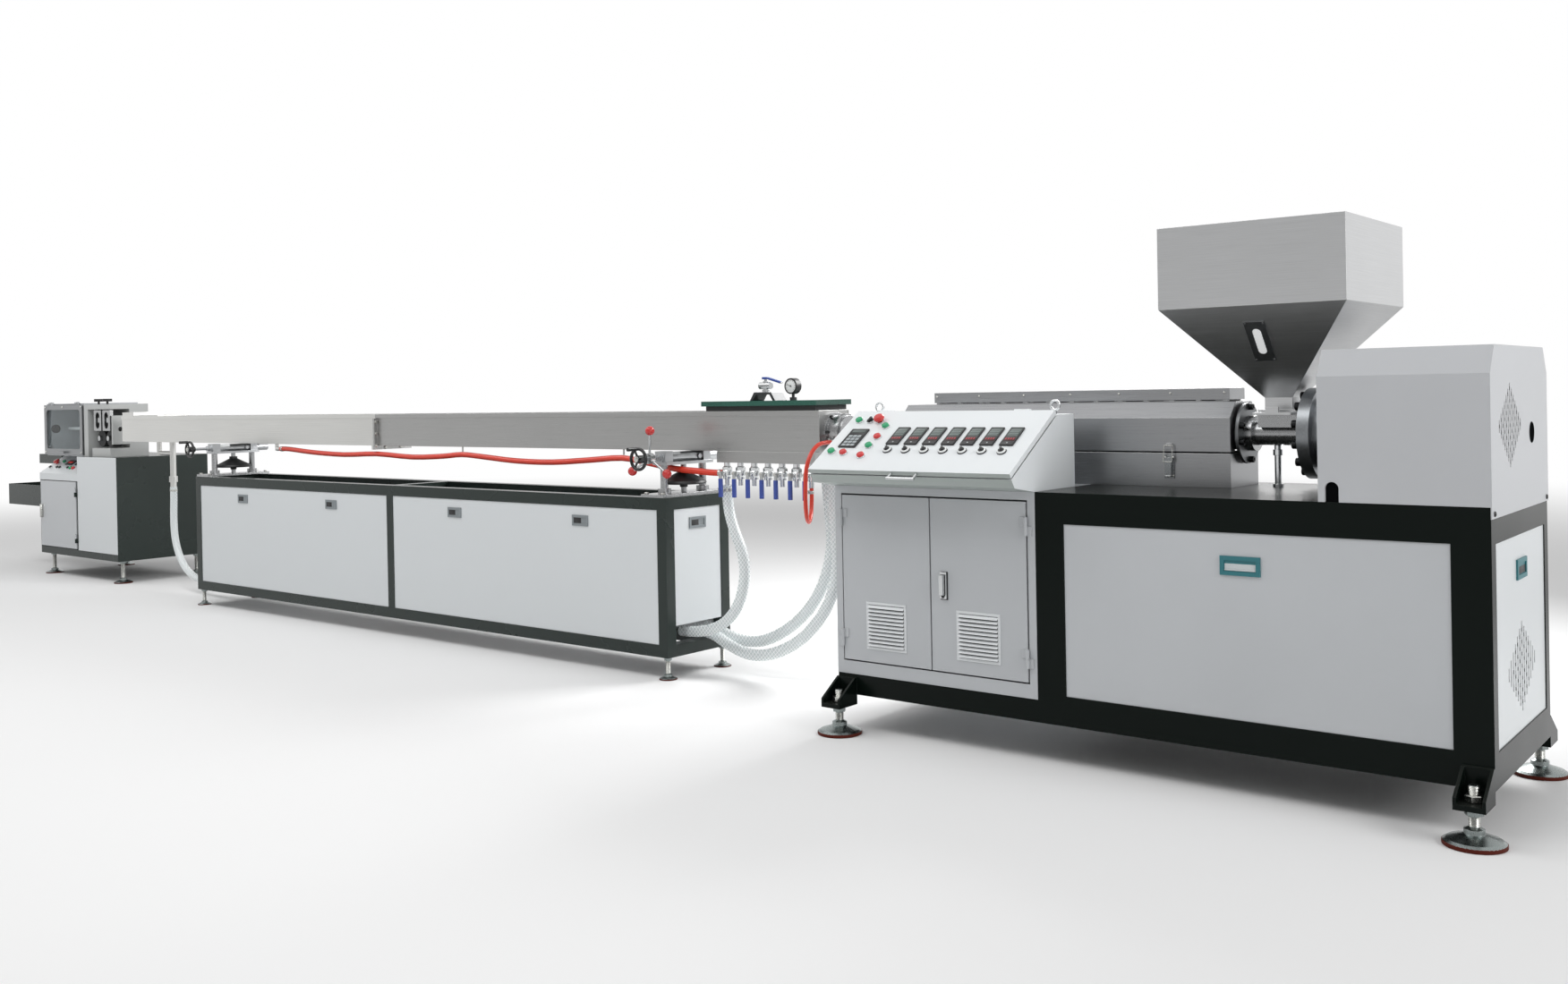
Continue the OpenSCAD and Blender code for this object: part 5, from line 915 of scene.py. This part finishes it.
rim = turned([(-29, 30.2), (-28, 31.6), (2, 31.6), (4, 30), (4, 26.2), (1.2, 26.2)], 40)
settle(rim, "gauge_case", black_plastic, dial_face)
card = turned([(0.4, 26.6), (1.6, 26.6), (1.8, 26)], 40)
settle(card, "gauge_dial", plastic("gauge_white", "eef0ef", 0.35), dial_face)
tick = block((-0.5, 19.5, 1.6), (0.5, 24.5, 2.1), 0.1)
needle = block((-0.8, -6, 2.4), (0.8, 19, 3), 0.2)
pivot = turned([(1.6, 3), (3.2, 3), (3.6, 2)], 16)
gauge_marks = joined([repeated(tick, [on_dial(27.0 * i - 135) for i in range(11)]),
                      repeated(needle, [on_dial(70)]), repeated(pivot, [dial_face])])
settle(gauge_marks, "gauge_marks", bolt_black)

# WATER VALVES
# Seven plated ball valves under the manifold, each with a steel lever in a blue vinyl sleeve and a hexagon
# on the body for the spanner.
sleeve_top = 0.8132
lever_finish = split_finish("valve_lever", beyond, ("Z", sleeve_top),
                            ("21409a", 0.0, 0.3), ("c2c4c4", 1.0, 0.28))
coat_nodes(lever_finish, "valve_levers")
valve_x = [-2904 + 72 * i for i in range(7)]
hexagon = turned([(-36, 19.6), (-35, 20.6), (-21, 20.6), (-20, 19.6)], 6)
settle(hexagon, "valve_hexagons", chrome, [at(x, 417.5, 877) for x in valve_x])
nut = turned([(0, 5.8), (0.4, 6.4), (4, 6.4), (4.8, 5.6)], 6)
settle(nut, "valve_lever_nuts", zinc,
       [facing_to(on_line(x, 371.5, 836), (0, -1, 0)) for x in valve_x])

# CUTTER DESK
# The sloped desk of the cutter has a stop button, three push buttons, two panel meters and four knobs, all
# bought-in parts in black, red and green plastic with plated collars. Door and housing have the light coat.
panel_coat = painted("light_panel_coat", "bcbfc2", "d6d7d8", 0.30, 900.0, 0.05)
coat_nodes(panel_coat, "cutter_door", "cutter_housing")
desk_slope, desk_sheet = math.atan(121 / 186), 3
desk_face = at(-9280, 390 - desk_sheet * math.sin(desk_slope), 697 + desk_sheet * math.cos(desk_slope)) \
    @ Matrix.Rotation(desk_slope, 4, "X")


def on_desk(x, y):
    """A place on the sloped desk, in millimetres from its front left corner."""
    return desk_face @ Matrix.Translation(to_metres(x, y, 0))


meter = framed((0, 0, 0), (96, 48, 8), 1.2, 4, 1.2)
meters = repeated(meter, [on_desk(216, 95.3), on_desk(366, 95.3)])
settle(meters, "desk_meters", black_plastic)
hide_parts("cutter_controls")
cell = block((0, 0, 6.6), (9.5, 16, 7.4), 0.2)
settle(cell, "desk_readouts", lit("desk_readout", "c8342a", 0.5),
       [on_desk(x + 13 * i, 111) for x in (232, 382) for i in range(5)])
small_spots = [on_desk(x, 59.5) for x in (164, 204, 330, 370, 410)]
start_spot, speed_spot = on_desk(140, 129.3), on_desk(58, 59.5)
collar = turned([(0, 12), (4, 12), (5, 10.4)], 28)
settle(collar, "desk_collars", chrome, small_spots + [start_spot, speed_spot])
knob = turned([(4, 9.8), (12.5, 9.2), (14, 8)], 24)
settle(knob, "desk_knobs", black_plastic, small_spots[:3] + [speed_spot])
settle(button(), "desk_green_buttons", green_caps, [small_spots[3], start_spot])
settle(button(), "desk_red_button", red_caps, small_spots[4])
stop = turned([(0, 15), (3, 15), (3.2, 9), (10.5, 9), (10.8, 21.5), (18, 21.5), (24, 17.5), (25.8, 8)])
settle(stop, "desk_stop_button", red_caps, on_desk(58, 115.3))
pull = block((-9243, 366.4, 391), (-9227, 386, 483), 3, on_line)
settle(pull, "cutter_door_pull", zinc, body="cutter_door")

# CUTTER GUARD
# A bright aluminium frame hinged at the top, holding a clear polycarbonate sheet; behind it the cutter shaft
# with its disc, coloured near-white as a painted highlight.
# Shaft and disc are near-white plastic: a painted highlight standing in for the bright reflection on the
# shaft.
coat_nodes(plastic("shaft_painted_highlight", "f1f2f2", 0.2), "cutter_shaft")
coat_nodes(bright_metal("guard_alloy", "949698", 0.32), "cutter_guard")
coat_nodes(see_through("clear_polycarbonate", "eef4f5", 1.0, 1.15, 300.0, (0.0, 0.03)), "guard_window")
screw = turned([(0, 6.2), (2, 6.2), (4.4, 4.6), (4.8, 2)], 18)
settle(screw, "guard_screws", zinc,
       [facing_to(on_line(x, 421, z), (0, -1, 0))
        for x in (-9254, -8986, -8706) for z in (842, 1151)], body="cutter_guard")

# STRAND BUSHES
# Black rubber bushes line the two round passages of the cutter housing, on the screw axis, and keep the
# strand off the sheet.
bush = turned([(0, 29.8), (9, 29.8), (10, 28.8), (10, 13), (4, 13)])
settle(bush, "strand_bushes", cast_black,
       [facing_to(on_line(x, axis_y, axis_z), (way, 0, 0)) for x, way in ((-9268, 1), (-8692, -1))])

# PULLER
# Painted housing with two pairs of grooved black rubber rollers; the upper pair runs in steel slides that
# star knobs press down.
coat_nodes(painted("puller_coat", "b3b5b4", "cfd1d0", 0.34), "puller_housing")
coat_nodes(machined, "puller_slides")
roller_front = on_line(0, 465.9, 0).y
roller_finish = split_finish("pull_roller", beyond, ("Y", roller_front),
                             ("b5b7b8", 1.0, 0.25), ("1a1b1c", 0.0, 0.6))
coat_nodes(roller_finish, "pull_rollers")

# STUDIO
# A plain pale floor with a white surround, one broad soft light from the right front, a long soft light
# over the line, a small one behind the gap beside the extruder, and a weak even fill.
pick()
bpy.ops.mesh.primitive_circle_add(vertices=96, radius=60.0, fill_type="NGON", location=(0, 0, 0))
floor = bpy.context.object
floor.name = "studio_floor"
floor_finish, tree, shader = start_finish("studio_floor")
lead(tree, shader, {"Base Color": (0.86, 0.86, 0.86, 1.0), "Roughness": 0.9, "Specular IOR Level": 0.1})
where = add_node(tree, "TexCoord").outputs["Object"]
reach = add_node(tree, "VectorMath", {0: where}, operation="LENGTH").outputs["Value"]
fade = add_node(tree, "MapRange", {"Value": reach, "From Min": 5.5, "From Max": 14.0},
                interpolation_type="SMOOTHSTEP").outputs["Result"]
glow = add_node(tree, "Emission").outputs["Emission"]
faded = add_node(tree, "MixShader", {"Fac": fade, 1: shader.outputs["BSDF"], 2: glow}).outputs["Shader"]
lead(tree, tree.nodes["Material Output"], {"Surface": faded})
floor.data.materials.append(floor_finish)

surround = bpy.data.worlds.new("studio_surround")
bpy.context.scene.world = surround
surround.use_nodes = True
tree = surround.node_tree
tree.nodes.clear()
rays = add_node(tree, "LightPath").outputs
seen = add_node(tree, "Math", {0: rays["Is Camera Ray"], 1: rays["Is Transmission Ray"]},
                operation="MAXIMUM").outputs["Value"]
way = add_node(tree, "TexCoord").outputs["Generated"]
front = add_node(tree, "SeparateXYZ", {"Vector": way}).outputs["Y"]
dim_front = add_node(tree, "MapRange", {"Value": front, "From Min": -0.70, "From Max": -0.38, "To Min": 0.48},
                     interpolation_type="SMOOTHSTEP").outputs["Result"]
fill, room, white = [
    add_node(tree, "Background", {"Color": (1.0, 1.0, 1.0, 1.0), "Strength": strength}).outputs["Background"]
    for strength in (0.45, dim_front, 1.0)]
mirrored = add_node(tree, "MixShader", {"Fac": rays["Is Glossy Ray"], 1: fill, 2: room}).outputs["Shader"]
shown = add_node(tree, "MixShader", {"Fac": seen, 1: mirrored, 2: white}).outputs["Shader"]
add_node(tree, "OutputWorld", {"Surface": shown})


def soft_light(name, place, target, wide, high, power):
    """A soft box that faces the line."""
    lamp = bpy.data.lights.new(name, "AREA")
    lamp.shape = "RECTANGLE"
    lamp.size, lamp.size_y, lamp.energy = wide, high, power
    box = bpy.data.objects.new(name, lamp)
    bpy.context.scene.collection.objects.link(box)
    box.matrix_world = facing_to(place, Vector(place) - Vector(target))


soft_light("key_box", (11.5, -1.2, 4.2), (3.5, 0.0, 0.9), 4.5, 3.5, 280.0)
soft_light("over_box", (-1.0, -2.6, 5.2), (-0.6, 0.2, 0.8), 11.0, 2.2, 220.0)
soft_light("gap_box", (3.4, 2.6, 2.6), (2.0, 0.0, 0.5), 2.0, 1.5, 130.0)
bpy.context.scene.view_settings.view_transform = "Standard"
